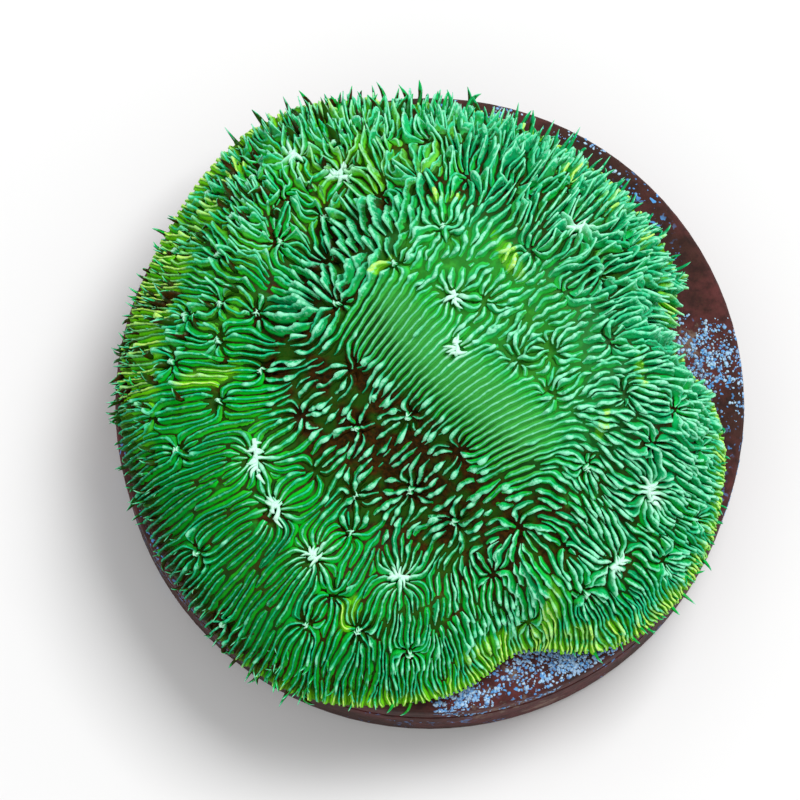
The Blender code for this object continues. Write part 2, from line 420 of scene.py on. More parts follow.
class Colony:
    """Where the corallites sit and which way the ridges run."""

    # Grid that the ridges' direction is worked out on: cell size, and cells each way from the axis.
    CELL = 0.1 * MM
    HALF = 200
    # Directions in which the margin's distance is noted.
    HEADINGS = 720
    # How often a place for one more corallite is tried, and how near the margin it may be.
    TRIES = 9000
    MARGIN_ROOM = 1.5 * MM
    # A corallite too weak for a star pulls the ridges by this much of its strength.
    WEAK_PULL = 0.45
    # Waves that make up the random turns of the ridges.
    WOBBLES = 7
    # How much closer together the ridges stand in each zone.
    CLOSER = ((right_share, 0.37), (fin_share, 0.26), (low_share, 0.30), (calm_share, 0.10),
              (top_share, 0.16), (comb_share, 0.28), (tooth_share, 0.36))
    BAND_CLOSER = 0.24
    RIM_CLOSER = 0.12
    # How far a wholly broken ridge runs each way, and how broken up the ridges are in each zone.
    LEAST_RUN = 0.75 * MM
    BROKEN = ((grain_share, 1.0), (right_share, 0.6), (fin_share, 0.5), (top_share, 0.8),
              (blade_share, 0.4), (tooth_share, 0.85), (moat_share, 0.62))

    def __init__(self, settings):
        self.spacing = settings.ridge_spacing
        self.rng = np.random.default_rng(settings.seed)
        placed = [(complex(place_of(x * MM, y * MM)), strength) for x, y, strength in CORALLITES]
        self.add_corallites(placed, settings.corallite_spacing)
        self.centres = np.array([place for place, _ in placed])
        self.strengths = np.array([strength if strength >= STAR_STRENGTH
                                   else self.WEAK_PULL * strength for _, strength in placed])
        self.map_directions()

    def add_corallites(self, placed, spacing):
        """Scatter further corallites wherever there is room for one."""
        for _ in range(self.TRIES):
            angle = self.rng.uniform(0.0, math.tau)
            place = full_travel(angle) * math.sqrt(self.rng.uniform()) * np.exp(1j * angle)
            slope = smooth_step(7.0 * MM, 3.0 * MM, margin_distance(place))
            left = 0.5 + 0.5 * math.cos(angle - math.radians(225.0))
            room = spacing * (1.0 + 0.55 * slope * left ** 2 - 0.24 * float(fin_share(place)))
            if margin_distance(place) < self.MARGIN_ROOM or band_share(place)[0] > 0.15:
                continue
            if min(abs(place - other) for other, _ in placed) > room:
                placed.append((complex(place), self.rng.uniform(0.3, 1.3)))

    def map_directions(self):
        """Work out the ridges' direction, as a doubled angle, on a fine grid."""
        line = np.arange(-self.HALF, self.HALF + 1) * self.CELL
        grid = line[None, :] + 1j * line[:, None]
        pull = np.zeros_like(grid)
        nearest = np.full(grid.shape, np.inf)
        nearest_star = np.full(grid.shape, np.inf)
        for centre, strength in zip(self.centres, self.strengths):
            away = grid - centre
            distance = np.abs(away) + 1e-9
            weight = strength / ((distance / MM) ** 2 + 0.04) ** 2
            pull += weight * (away / distance) ** 2
            nearest = np.minimum(nearest, distance + strength * 0.06 * MM)
            if strength >= STAR_STRENGTH:
                nearest_star = np.minimum(nearest_star, distance)
        pull += self.margin_pull(grid) + self.flow_pull(grid)
        share, direction = band_share(grid)
        pull *= np.exp(2j * self.wobble(grid) * (1 + 0.5 * fin_share(grid) - 0.7 * calm_share(grid)))
        pull = pull * (1 - share) + 3.0 * share * np.exp(2j * direction)
        pull /= np.maximum(np.abs(pull), 1e-9)
        self.pull = pull.tolist()
        self.nearest = nearest
        self.nearest_star = nearest_star
        self.map_spacing(grid)
        self.reach = full_travel(math.tau / self.HEADINGS * np.arange(self.HEADINGS)).tolist()

    def map_spacing(self, grid):
        """Work out how close the ridges stand and how long they run, on the same grid."""
        band, blade, grain = band_share(grid)[0], blade_share(grid), grain_share(grid)
        rim = smooth_step(3.5 * MM, 1.0 * MM, margin_distance(grid)) * (1 - calm_share(grid))
        apron = strongest(grid, self.CLOSER)
        closer = 1 - self.BAND_CLOSER * np.maximum(band, blade)
        closer = closer - (apron + self.RIM_CLOSER * rim) * (1 - blade)
        broken = np.maximum.reduce((strongest(grid, self.BROKEN), 0.6 * low_share(grid) * (1 - rim),
                                    0.3 - 0.1 * comb_share(grid)))
        longest = self.LEAST_RUN / broken ** 1.5
        self.closer = closer.tolist()
        self.longest = longest.tolist()
        self.farthest = (longest * (2.2 + 5.0 * grain)).tolist()

    def wobble(self, grid):
        """Small random turns that keep the ridges from running too straight."""
        turn = np.zeros(grid.shape)
        for _ in range(self.WOBBLES):
            wave = self.rng.uniform(1.6, 4.0) / MM * np.exp(1j * self.rng.uniform(0.0, math.tau))
            turn += 0.12 * np.sin((grid * wave.conjugate()).real + self.rng.uniform(0.0, math.tau))
        return turn

    def flow_pull(self, grid):
        """Between corallites the ridges run outwards, or across the mound as on its band."""
        outwards = np.exp(2j * np.angle(grid))
        tooth = tooth_share(grid)
        mound = oval_share(grid, *MOUND_FLOW) * (1 - tooth)
        outwards = (0.9 + 0.5 * tooth) * (1 - mound) * outwards
        return outwards + 0.8 * mound * np.exp(2j * band_share(grid)[1])

    def margin_pull(self, grid):
        """Near the margin the ridges run straight out across it."""
        angle = np.angle(grid)
        turn = 0.01
        slope = (full_travel(angle + turn) - full_travel(angle - turn)) / (2 * turn)
        lean = np.arctan(slope / full_travel(angle))
        depth = np.maximum(margin_distance(grid), 0.0) / MM
        left = 0.5 + 0.5 * np.cos(angle - math.radians(220.0))
        weight = (1.2 + 8.0 * left ** 2) / (depth ** 2 + 1.5) ** 2 + 1.5 * comb_share(grid)
        return weight * np.exp(2j * (angle - lean))

    def spacing_at(self, place):
        """Distance between ridges at a place."""
        return self.spacing * self.entry(self.closer, place)

    def longest_at(self, place):
        """How far a ridge may run each way from a place."""
        return self.entry(self.longest, place) * self.rng.uniform(0.6, 1.5)

    def entry(self, table, place):
        """Entry of a table of rows at the nearest grid point."""
        column = int(place.real / self.CELL + self.HALF + 0.5)
        row = int(place.imag / self.CELL + self.HALF + 0.5)
        return table[row][column]

    def direction(self, place, heading):
        """Unit direction of the ridges at a place, on the same side as a heading."""
        column = place.real / self.CELL + self.HALF
        row = place.imag / self.CELL + self.HALF
        i, j = int(column), int(row)
        u, v = column - i, row - j
        low, high = self.pull[j], self.pull[j + 1]
        below = (1 - u) * low[i] + u * low[i + 1]
        above = (1 - u) * high[i] + u * high[i + 1]
        pull = (1 - v) * below + v * above
        angle = math.atan2(pull.imag, pull.real) / 2
        way = complex(math.cos(angle), math.sin(angle))
        if way.real * heading.real + way.imag * heading.imag < 0:
            return -way
        return way

    def calice_distance(self, place):
        """Distance to the nearest corallite's centre."""
        return self.look_up(self.nearest, place)

    def star_distance(self, place):
        """Distance to the nearest bright star's centre."""
        return self.look_up(self.nearest_star, place)

    def look_up(self, table, place):
        """Value of a gridded quantity at the nearest grid point."""
        place = np.asarray(place)
        column = np.clip(np.rint(place.real / self.CELL).astype(int) + self.HALF, 0, 2 * self.HALF)
        row = np.clip(np.rint(place.imag / self.CELL).astype(int) + self.HALF, 0, 2 * self.HALF)
        return table[row, column]

    def within(self, place, overhang):
        """Whether a place is on the surface, or no further past the margin than the overhang."""
        turn = math.degrees(math.atan2(place.imag, place.real))
        index = int(turn * self.HEADINGS / 360) % self.HEADINGS
        return abs(place) < self.reach[index] + overhang


class RidgeTracer:
    """Lays evenly spaced ridge lines over the surface, one after another."""

    # Distance between the points of a line, as a share of the spacing.
    STEP = 0.2
    # Nearest that another line may be, as a share of the spacing there: to start, and to go on.
    START_ROOM = 0.70
    ROOM = 0.44
    # Most steps each way: on the band, in from the margin, round a corallite, anywhere else.
    BAND_STEPS = 36
    MARGIN_STEPS = 70
    CORALLITE_STEPS = 30
    STEPS = 60
    FEWEST_POINTS = 4
    # Ridges started round each corallite, and further tries all over the surface.
    ROUND_CORALLITE = 12
    TRIES = 14000

    def __init__(self, colony, mouth_radius, overhang):
        self.colony = colony
        self.spacing = colony.spacing
        self.step = colony.spacing * self.STEP
        self.mouth_radius = mouth_radius
        self.overhang = overhang
        self.cells = {}
        self.lines = []

    def crowded(self, place, reach):
        """Whether another line passes nearer than the reach."""
        column = math.floor(place.real / self.spacing)
        row = math.floor(place.imag / self.spacing)
        for i in (column - 1, column, column + 1):
            for j in (row - 1, row, row + 1):
                for other in self.cells.get((i, j), ()):
                    if abs(place - other) < reach:
                        return True
        return False

    def grow(self, place, heading, longest):
        """Follow the ridges' direction until the line meets something."""
        line = []
        start = place
        while len(line) < longest:
            heading = self.colony.direction(place + heading * self.step / 2, heading)
            place = place + heading * self.step
            if not self.colony.within(place, self.overhang):
                break
            if len(line) * self.step > self.colony.entry(self.colony.farthest, place):
                break
            if self.crowded(place, self.ROOM * self.colony.spacing_at(place)):
                break
            if self.colony.calice_distance(place) < self.mouth_radius:
                break
            if len(line) > 12 and abs(place - start) < self.START_ROOM * self.spacing:
                break
            line.append(place)
        return line

    def lay(self, seed, longest):
        """Lay one line through a seed, if there is room for it there."""
        if not self.colony.within(seed, 0.0):
            return
        if self.crowded(seed, self.START_ROOM * self.colony.spacing_at(seed)):
            return
        if self.colony.calice_distance(seed) < self.mouth_radius:
            return
        heading = self.colony.direction(seed, 1.0 + 0.0j)
        longest = min(longest, self.colony.longest_at(seed) / self.step)
        line = self.grow(seed, -heading, longest)[::-1] + [seed] + self.grow(seed, heading, longest)
        if len(line) < self.FEWEST_POINTS:
            return
        for place in line:
            key = (math.floor(place.real / self.spacing), math.floor(place.imag / self.spacing))
            self.cells.setdefault(key, []).append(place)
        self.lines.append(line)

    def fill(self):
        """Cover the surface: the band, from the margin in, round each corallite, then every gap."""
        start, end = BAND_START * MM, BAND_END * MM
        gap = 1.03 * self.colony.spacing_at((start + end) / 2)
        for share in np.arange(0.0, 1.0, gap / abs(end - start)):
            self.lay(start + (end - start) * share, self.BAND_STEPS)
        around = 0.0
        while around < math.tau:
            reach = float(full_travel(around)) - 0.6 * MM
            self.lay(complex(reach * np.exp(1j * around)), self.MARGIN_STEPS)
            around += self.spacing / reach
        order = np.argsort(-self.colony.strengths)
        rng = self.colony.rng
        for centre in self.colony.centres[order]:
            jitter = rng.uniform(-0.3, 0.3, self.ROUND_CORALLITE)
            turns = (np.arange(self.ROUND_CORALLITE) + jitter) * math.tau / self.ROUND_CORALLITE
            for turn in turns:
                seed = centre + rng.uniform(0.5, 0.9) * MM * np.exp(1j * turn)
                self.lay(complex(seed), self.CORALLITE_STEPS)
        done = 0
        while done < len(self.lines):
            line = self.lines[done]
            for index in range(0, len(line), 2):
                ahead = line[min(index + 1, len(line) - 1)] - line[max(index - 1, 0)]
                side = 1j * ahead / abs(ahead) * self.colony.spacing_at(line[index]) * 0.98
                self.lay(line[index] + side, self.STEPS)
                self.lay(line[index] - side, self.STEPS)
            done += 1
        for _ in range(self.TRIES):
            around = rng.uniform(0.0, math.tau)
            reach = float(full_travel(around)) * math.sqrt(rng.uniform())
            self.lay(complex(reach * np.exp(1j * around)), self.STEPS)
        return [np.array(line) for line in self.lines]


# ------------------------------------------------------------------ joined blades
# Level of the grooves, where the tops of the ridges are 1.
GROOVE_LEVEL = -0.14


def mirrored(*left):
    """Section of a blade, from the left foot over the top to the right foot, by its left half.

    Each point has its share of the way to the next groove, its share of the blade's thickness, and
    its share of the height.
    """
    left = np.array(((-1.0, 0.0, GROOVE_LEVEL), *left))
    return np.concatenate((left, left[::-1] * (-1.0, -1.0, 1.0)))


RIDGE_SECTION = mirrored((-0.62, -0.2, 0.12), (-0.22, -0.8, 0.48), (0.0, -1.0, 1.0))
GRAIN_SECTION = mirrored((-0.42, -0.5, 0.14), (-0.02, -1.15, 0.64), (0.0, -0.72, 1.0))
FIN_SECTION = mirrored((-0.46, -0.4, 0.10), (-0.10, -1.0, 0.48), (0.0, -0.48, 1.0))
SECTION_POINTS = len(RIDGE_SECTION)
ROUND_SECTION = np.array([(math.cos(turn), math.sin(turn))
                          for turn in np.radians(202.5 - 45.0 * np.arange(SECTION_POINTS))])
# Empty border of each blade's cell of the texture.
UV_INSET = 0.06


def basic_mesh(name, create, **options):
    """A mesh holding one basic shape."""
    bm = bmesh.new()
    create(bm, **options)
    mesh = bpy.data.meshes.new(name)
    bm.to_mesh(mesh)
    bm.free()
    return mesh


def blade_template(stations):
    """One plain closed bar, cut into stations along its length."""
    bm = bmesh.new()
    bmesh.ops.create_cone(bm, cap_ends=True, segments=SECTION_POINTS, radius1=1.0, radius2=1.0,
                          depth=2.0)
    upright = [edge for edge in bm.edges if abs(edge.verts[0].co.z - edge.verts[1].co.z) > 1.0]
    bmesh.ops.subdivide_edges(bm, edges=upright, cuts=stations - 2)
    mesh = bpy.data.meshes.new("blade_template")
    bm.to_mesh(mesh)
    bm.free()
    return mesh


def template_rows(mesh, stations):
    """Station and section number of each vertex of a template."""
    co = read(mesh.vertices, "co", 3)
    station = np.rint((co[:, 2] + 1) / 2 * (stations - 1)).astype(int)
    turn = np.degrees(np.arctan2(co[:, 1], co[:, 0])) - 90.0
    section = np.rint(turn / (360.0 / SECTION_POINTS)).astype(int) % SECTION_POINTS
    return station, section


def read(items, field, width=1, kind=float):
    """One field of every vertex, corner or face of a mesh as an array."""
    values = np.empty(len(items) * width, dtype=kind)
    items.foreach_get(field, values)
    return values.reshape(-1, width) if width > 1 else values


def write_points(mesh, points):
    """Move a mesh's vertices."""
    mesh.vertices.foreach_set("co", np.ascontiguousarray(points, dtype=np.float32).ravel())
    mesh.update()


def paint(mesh, name, values):
    """Store one number for each vertex, for the material to read."""
    attribute = mesh.attributes.new(name, "FLOAT", "POINT")
    attribute.data.foreach_set("value", np.ascontiguousarray(values, dtype=np.float32).ravel())


def write_uv(mesh, uv):
    """Store the place of each corner on the texture."""
    layer = mesh.uv_layers.new(name="OFBake")
    layer.data.foreach_set("uv", uv.astype(np.float32).ravel())


def linked(name, data):
    """A new object in the scene."""
    obj = bpy.data.objects.new(name, data)
    bpy.context.scene.collection.objects.link(obj)
    return obj


def array_of(template, count, name):
    """Join many copies of a template into one mesh with an Array modifier."""
    maker = linked(name, template)
    array = maker.modifiers.new("copies", "ARRAY")
    array.count = count
    array.use_relative_offset = False
    array.use_constant_offset = False
    bpy.context.view_layer.update()
    evaluated = maker.evaluated_get(bpy.context.evaluated_depsgraph_get())
    mesh = bpy.data.meshes.new_from_object(evaluated)
    mesh.name = name
    bpy.data.objects.remove(maker, do_unlink=True)
    return mesh


def unwrap_blades(mesh, template, station, section, stations, count):
    """Give each blade its own cell of the texture, its length up and its section across."""
    side = math.ceil(math.sqrt(count))
    corners = read(template.loops, "vertex_index", kind=int)
    u = section[corners].astype(float)
    v = station[corners].astype(float)
    for polygon in template.polygons:
        loops = slice(polygon.loop_start, polygon.loop_start + polygon.loop_total)
        if polygon.loop_total == SECTION_POINTS:
            v[loops] += 0.01 * np.cos(u[loops])
        elif u[loops].max() == SECTION_POINTS - 1 and u[loops].min() == 0:
            u[loops] = np.where(u[loops] == 0, SECTION_POINTS, u[loops])
    local = UV_INSET + (1 - 2 * UV_INSET) * np.stack((u / SECTION_POINTS, v / (stations - 1)), axis=-1)
    blade = np.arange(count)
    corner = np.stack((blade % side, blade // side), axis=-1)
    write_uv(mesh, (corner[:, None, :] + local[None, :, :]) / side)


class Bars:
    """A batch of closed bars with the same number of stations, joined in one mesh."""

    def __init__(self, name, count, stations):
        self.stations = stations
        template = blade_template(stations)
        self.station, self.section = template_rows(template, stations)
        self.mesh = array_of(template, count, name)
        unwrap_blades(self.mesh, template, self.station, self.section, stations, count)

    def shape(self, centre, side, up, profile):
        """Move the points: centre lines, side and up vectors for each bar and station."""
        station = self.station
        write_points(self.mesh, centre[:, station] + side[:, station] * profile[..., :1]
                     + up[:, station] * profile[..., 1:])

    def paint(self, name, values):
        """Store a number given for each bar and station, or for each bar and vertex."""
        if values.shape[1] == self.stations:
            values = values[:, self.station]
        paint(self.mesh, name, values)


class Ridges:
    """A batch of ridge lines, cut into stations that stand a little closer towards both ends."""

    def __init__(self, lines, stations):
        self.count, self.stations = len(lines), stations
        even = np.linspace(0.0, 1.0, stations)
        share = 0.65 * even + 0.35 * (0.5 - 0.5 * np.cos(np.pi * even))
        self.lines = lines
        self.runs = [run_along(line) for line in lines]
        self.length = np.array([run[-1] for run in self.runs])[:, None]
        self.run = share[None, :] * self.length
        self.place = self.places(self.run)

    def places(self, distances):
        """Surface places at given distances along each line."""
        rows = [np.interp(wanted, run, line.real) + 1j * np.interp(wanted, run, line.imag)
                for wanted, run, line in zip(distances, self.runs, self.lines)]
        return np.array(rows)


class NeighbourMap:
    """Which ridge line passes through each small cell of the surface."""

    # Size of a cell, and cells each way from the middle.
    CELL = 0.05 * MM
    HALF = 400
    NEAREST = 0.06 * MM

    def __init__(self, lines):
        self.owner = np.zeros((2 * self.HALF + 2, 2 * self.HALF + 2), dtype=int)
        for number, line in enumerate(lines, 1):
            run = run_along(line)
            fine = np.arange(0.0, run[-1], 0.4 * self.CELL)
            row, column = self.cell_of(np.interp(fine, run, line.real)
                                       + 1j * np.interp(fine, run, line.imag))
            self.owner[row, column] = number
            self.owner[row, column + 1] = number

    def cell_of(self, place):
        """Row and column of the cell at a place."""
        column = np.clip(np.rint(place.real / self.CELL).astype(int), -self.HALF, self.HALF)
        row = np.clip(np.rint(place.imag / self.CELL).astype(int), -self.HALF, self.HALF)
        return row + self.HALF, column + self.HALF

    def gap(self, place, way, number, farthest):
        """Distance to the next line, looking one way from each place."""
        gap = np.full(place.shape, farthest)
        for reach in np.arange(farthest, self.NEAREST, -0.6 * self.CELL):
            owner = self.owner[self.cell_of(place + way * reach)]
            gap = np.where((owner > 0) & (owner != number), reach, gap)
        return gap


# ------------------------------------------------------------------ finishes
def srgb(red, green, blue):
    """Linear colour for display values from 0 to 255."""
    shares = [value / 255.0 for value in (red, green, blue)]
    return tuple(v / 12.92 if v <= 0.04045 else ((v + 0.055) / 1.055) ** 2.4 for v in shares)


class Value:
    """A socket in a material, with arithmetic that adds Math nodes."""

    def __init__(self, finish, socket):
        self.finish, self.socket = finish, socket

    def math(self, operation, first, second):
        return self.finish.node("ShaderNodeMath", {"operation": operation}, {0: first, 1: second})

    def __add__(self, other):
        return self.math("ADD", self, other)

    def __sub__(self, other):
        return self.math("SUBTRACT", self, other)

    def __mul__(self, other):
        return self.math("MULTIPLY", self, other)

    def __rsub__(self, other):
        return self.math("SUBTRACT", other, self)

    __radd__ = __add__
    __rmul__ = __mul__

    def rise(self, low, high):
        """Smooth rise from 0 to 1 as the value goes from low to high."""
        settings = {"interpolation_type": "SMOOTHSTEP"}
        return self.finish.node("ShaderNodeMapRange", settings, {0: self, 1: low, 2: high})


class Finish:
    """A Principled material, with methods that add nodes to it."""

    def __init__(self, name, colours, **constants):
        self.colours = colours
        self.material = bpy.data.materials.new(name)
        self.material.use_nodes = True
        self.tree = self.material.node_tree
        self.shader = self.tree.nodes["Principled BSDF"]
        for socket, value in constants.items():
            self.shader.inputs[socket.replace("_", " ")].default_value = value

    def node(self, kind, settings, inputs, output=0):
        """Add a node: its settings first, then the values or links of its sockets."""
        node = self.tree.nodes.new(kind)
        for key, value in settings.items():
            setattr(node, key, value)
        for key, value in inputs.items():
            self.feed(node.inputs[key], value)
        return Value(self, node.outputs[output])

    def feed(self, socket, value):
        """Link a value to a socket, or set the socket to a number or to a colour by its name."""
        if isinstance(value, Value):
            self.tree.links.new(value.socket, socket)
        elif isinstance(value, str):
            socket.default_value = (*getattr(self.colours, value), 1.0)
        else:
            socket.default_value = value

    def attribute(self, name):
        return self.node("ShaderNodeAttribute", {"attribute_name": name}, {}, "Fac")

    def coordinates(self):
        return self.node("ShaderNodeTexCoord", {}, {}, "Object")

    def noise(self, size, detail=3.0, roughness=0.55):
        """Noise with lumps of about the given size."""
        inputs = {"Vector": self.coordinates(), "Scale": 0.5 / size, "Detail": detail,
                  "Roughness": roughness}
        return self.node("ShaderNodeTexNoise", {}, inputs)

    def cells(self, size):
        """Distance to the middles of irregular cells of about the given size."""
        inputs = {"Vector": self.coordinates(), "Scale": 1.0 / size}
        return self.node("ShaderNodeTexVoronoi", {"feature": "F1"}, inputs, "Distance")

    def mix(self, factor, first, second):
        """Blend two colours, each a value or the name of a colour setting."""
        return self.node("ShaderNodeMix", {"data_type": "RGBA"}, {0: factor, 6: first, 7: second}, 2)

    def bump(self, height, distance, strength):
        inputs = {"Strength": strength, "Distance": distance, "Height": height}
        return self.node("ShaderNodeBump", {}, inputs)

    def surface(self, **values):
        """Link what varies over the surface to the shader."""
        for socket, value in values.items():
            self.feed(self.shader.inputs[socket.replace("_", " ")], value)
        return self.material


def coral_tissue(colours):
    """Living tissue: grooves, green flanks, thin teal crests, pale teeth, brown and lime, and painted
    shade.
    """
    finish = Finish("coral_tissue", colours, Specular_IOR_Level=0.04, Coat_Roughness=0.3)
    mix = finish.mix
    crest, tooth, rust, lime, star, bright, cool, glow, shade, quiet = (
        finish.attribute(name) for name in ("crest", "tooth", "rust", "lime", "star", "bright",
                                            "cool", "glow", "shade", "quiet"))
    patches, blotches, specks, grain = (finish.noise(size * MM) for size in (2.2, 0.9, 0.35, 0.11))
    # Green of the flanks, cooler, brighter, yellower or deeper by zone.
    green = mix(patches.rise(0.35, 0.65), "flank_deep", "flank")
    green = mix((blotches + 0.4 * patches).rise(0.72, 0.86) * 0.55, green, "olive")
    green = mix((cool + 0.8 * (blotches - 0.5)).rise(0.2, 0.9), green, "flank_cool")
    green = mix(bright, green, "flank_bright")
    leaf = mix(specks.rise(0.45, 0.65), "leaf", "leaf_yellow")
    green = mix(quiet * (1 - cool) * 0.8, green, leaf)
    # Painted shade low on the steep flank.
    green = mix(shade * 0.6, green, "flank_shade")
    # Where the tissue is brown, with painted shade low on the left flank and on the fins, and where it is
    # fresh.
    rusty = mix(grain.rise(0.3, 0.75), "rust_deep", "rust")
    mottle = 1.7 * (blotches - 0.5) + 0.9 * (specks - 0.5)
    share = (0.62 * rust + mottle).rise(0.24, 0.54) * rust.rise(0.02, 0.3)
    mossy = finish.noise(0.9 * MM, detail=2.0).rise(0.46, 0.60)
    fresh = (lime + 0.9 * (blotches - 0.5) * lime.rise(0.0, 0.4)).rise(0.25, 0.85)
    # Flanks, grooves and crests.
    flank = mix(share * (1 - tooth) * 0.55, green, "moss")
    flank = mix(0.45 * tooth, flank, "crest_deep")
    flank = mix(fresh * 0.8, flank, "lime")
    # Groove floors: bright green where they glow, painted shade elsewhere.
    low = mix((glow + 0.5 * (specks - 0.5)).rise(0.2, 0.8), "groove", green)
    low = mix(fresh * 0.7, low, "lime")
    teal = mix(patches.rise(0.3, 0.7), "crest_deep", "crest")
    teal = mix(quiet, teal, "crest_dull")
    pale = mix((crest + 0.3 * (specks - 0.5)).rise(0.85, 1.0), "tooth_edge", "tooth")
    high = mix(tooth.rise(0.05, 0.80), teal, pale)
    high = mix(bright * (1 - 0.7 * tooth), high, "crest_soft")
    high = mix(lime.rise(0.5, 0.9) * 0.9, high, "lime_crest")
    # From the groove up: dark seam of brown tissue and painted shade, flank, thin painted shadow line under
    # the crest, crest.
    colour = mix(crest.rise(0.02, 0.32), low, flank)
    dark = mix(mossy * 0.75, rusty, "moss")
    dark = mix(rust.rise(0.05, 0.4), "groove", dark)
    upto = 0.47 * share + 0.30 * rust.rise(0.72, 0.95)
    seam = (upto - 0.09 - crest + 0.20 * (specks - 0.5)).rise(-0.05, 0.05)
    colour = mix(seam * (1 - 0.6 * bright) * (1 - 0.35 * fresh), colour, dark)
    # Thin painted shadow line under the crest, in the groove colour.
    line = crest.rise(0.40, 0.62) * (1 - 0.7 * bright) * (1 - 0.7 * tooth) * (0.45 + 0.45 * quiet)
    colour = mix(line, colour, "groove")
    edge = (crest + 0.35 * (grain - 0.5) + 0.1 * tooth - 0.08 * quiet).rise(0.70, 0.94)
    colour = mix(edge, colour, high)
    # Fine frost and pores on the crests, and the stars' pale veins.
    frost = grain.rise(0.52, 0.62) * crest.rise(0.35, 0.8) * (0.22 + 0.6 * tooth)
    colour = mix(frost, colour, "tooth")
    pores = grain.rise(0.50, 0.38) * crest.rise(0.35, 0.7) * (0.2 + 0.35 * tooth)
    colour = mix(pores, colour, "flank_cool")
    colour = mix(star * crest.rise(0.3, 0.9), colour, "star")
    normal = finish.bump(grain + 0.5 * specks, 0.04 * MM, 0.6)
    return finish.surface(Base_Color=colour, Roughness=0.38 + 0.22 * grain,
                          Coat_Weight=0.06 * tooth, Normal=normal)


def crusted_ceramic(colours):
    """Unglazed ceramic under brown and pink coralline crust, with pale blue specks."""
    finish = Finish("crusted_ceramic", colours, Specular_IOR_Level=0.3)
    patches = finish.noise(3.0 * MM, detail=4.0)
    grain = finish.noise(0.25 * MM, detail=5.0, roughness=0.65)
    plates = finish.cells(0.9 * MM)
    crust = finish.mix(patches.rise(0.4, 0.6), "crust_brown", "crust_pink")
    crust = finish.mix(grain.rise(0.35, 0.7) * 0.7, crust, "crust_dark")
    bare = (patches + 0.5 * grain).rise(0.88, 0.98)
    colour = finish.mix(bare * 0.8, crust, "ceramic")
    specks = finish.noise(0.13 * MM, detail=1.0)
    drift = finish.noise(1.6 * MM, detail=2.0)
    sprinkled = specks.rise(0.62, 0.66) * drift.rise(0.50, 0.62)
    colour = finish.mix(sprinkled, colour, "speck")
    normal = finish.bump(0.6 * grain + 0.4 * plates, 0.12 * MM, 0.6)
    return finish.surface(Base_Color=colour, Roughness=0.7 + 0.25 * grain, Normal=normal)


def speck_finish(colours):
    """Pale blue crumbs of crust."""
    finish = Finish("crust_specks", colours, Specular_IOR_Level=0.3)
    grain = finish.noise(0.12 * MM)
    colour = finish.mix(finish.attribute("tone"), "speck", "speck_white")
    colour = finish.mix(grain.rise(0.45, 0.75) * 0.5, colour, "crust_pink")
    return finish.surface(Base_Color=colour, Roughness=0.75 + 0.2 * grain)


# ------------------------------------------------------------------ settings
def length_setting(name, description, value):
    """A length setting, given in millimetres."""
    return FloatProperty(name=name, description=description, default=value * MM, unit="LENGTH",
                         precision=5)


def strength_setting(name, description, value):
    """The strength of a light."""
    return FloatProperty(name=name, description=description, default=value)


class CoralSizes(bpy.types.PropertyGroup):
    ridge_spacing: length_setting("Ridge spacing", "Distance between neighbouring ridges", 0.47)
    ridge_height: length_setting("Ridge height", "How far a plain ridge stands above its groove", 0.30)
    ridge_half_width: length_setting("Ridge half width", "Half the width of a ridge at its foot", 0.24)
    tooth_height: length_setting(
        "Tooth height", "How much further a tooth stands up round a corallite", 0.28)
    tooth_length: length_setting("Tooth length", "Length of a tooth along its ridge", 0.52)
    crest_thickness: length_setting("Crest thickness", "Half the thickness of a ridge at its crest", 0.040)
    corallite_spacing: length_setting("Corallite spacing", "Least distance between corallite centres", 2.45)
    mouth_radius: length_setting("Mouth radius", "Clear space at the middle of a corallite", 0.13)
    skin_depth: length_setting(
        "Groove depth", "How deep the grooves lie under the ridges' middle height", 0.20)
    seed: IntProperty(
        name="Seed", description="Changes the scatter of corallites and teeth", default=7)


# What each colour is for, and its display values.
COLOURS = {
    # Painted shade in the grooves; also the colour of the painted shadow line under the crests.
    "groove": ("Dark tissue at the bottom of the grooves", 22, 62, 18),
    "flank": ("Sides of the ridges", 14, 214, 48),
    "flank_deep": ("Darker sides of the ridges", 8, 182, 56),
    "flank_cool": ("Teal sides of the ridges", 4, 166, 98),
    "flank_bright": ("Ridges of the smooth band", 68, 176, 74),
    "leaf": ("Sides of the ridges on the steep flank", 8, 204, 18),
    "leaf_yellow": ("Yellower patches on the steep flank", 66, 214, 6),
    # Painted shade on the ridges low on the steep flank.
    "flank_shade": ("Ridges low on the steep flank", 8, 116, 26),
    "moss": ("Green patches among the brown", 26, 84, 12),
    "olive": ("Yellower patches of tissue", 92, 196, 12),
    # Brown tissue, also used for painted shade low on the left flank and on the fins.
    "rust": ("Brown tissue between the teeth", 72, 40, 6),
    "rust_deep": ("Darkest tissue between the teeth", 30, 24, 3),
    "crest": ("Tops of the ridges", 32, 216, 152),
    "crest_dull": ("Ridge tops on the steep flank", 14, 132, 98),
    "crest_soft": ("Ridge tops of the smooth band", 108, 204, 152),
    "crest_deep": ("Darker tops of the ridges", 26, 202, 136),
    "tooth": ("Tops of the teeth", 152, 238, 198),
    "tooth_edge": ("Round the pale middles of the teeth", 34, 192, 126),
    "star": ("Pale middles of the brightest corallites", 208, 250, 230),
    "lime": ("Fresh growth at the margins", 146, 234, 18),
    "lime_crest": ("Ridge tops at the margins", 204, 250, 104),
    "crust_brown": ("Brown crust on the disc", 58, 28, 20),
    "crust_pink": ("Pink crust on the disc", 88, 38, 38),
    "crust_dark": ("Pores of the crust", 30, 16, 14),
    "ceramic": ("Bare ceramic", 128, 104, 92),
    "speck": ("Pale blue specks of crust", 84, 154, 220),
    "speck_white": ("Palest specks of crust", 186, 216, 240),
}


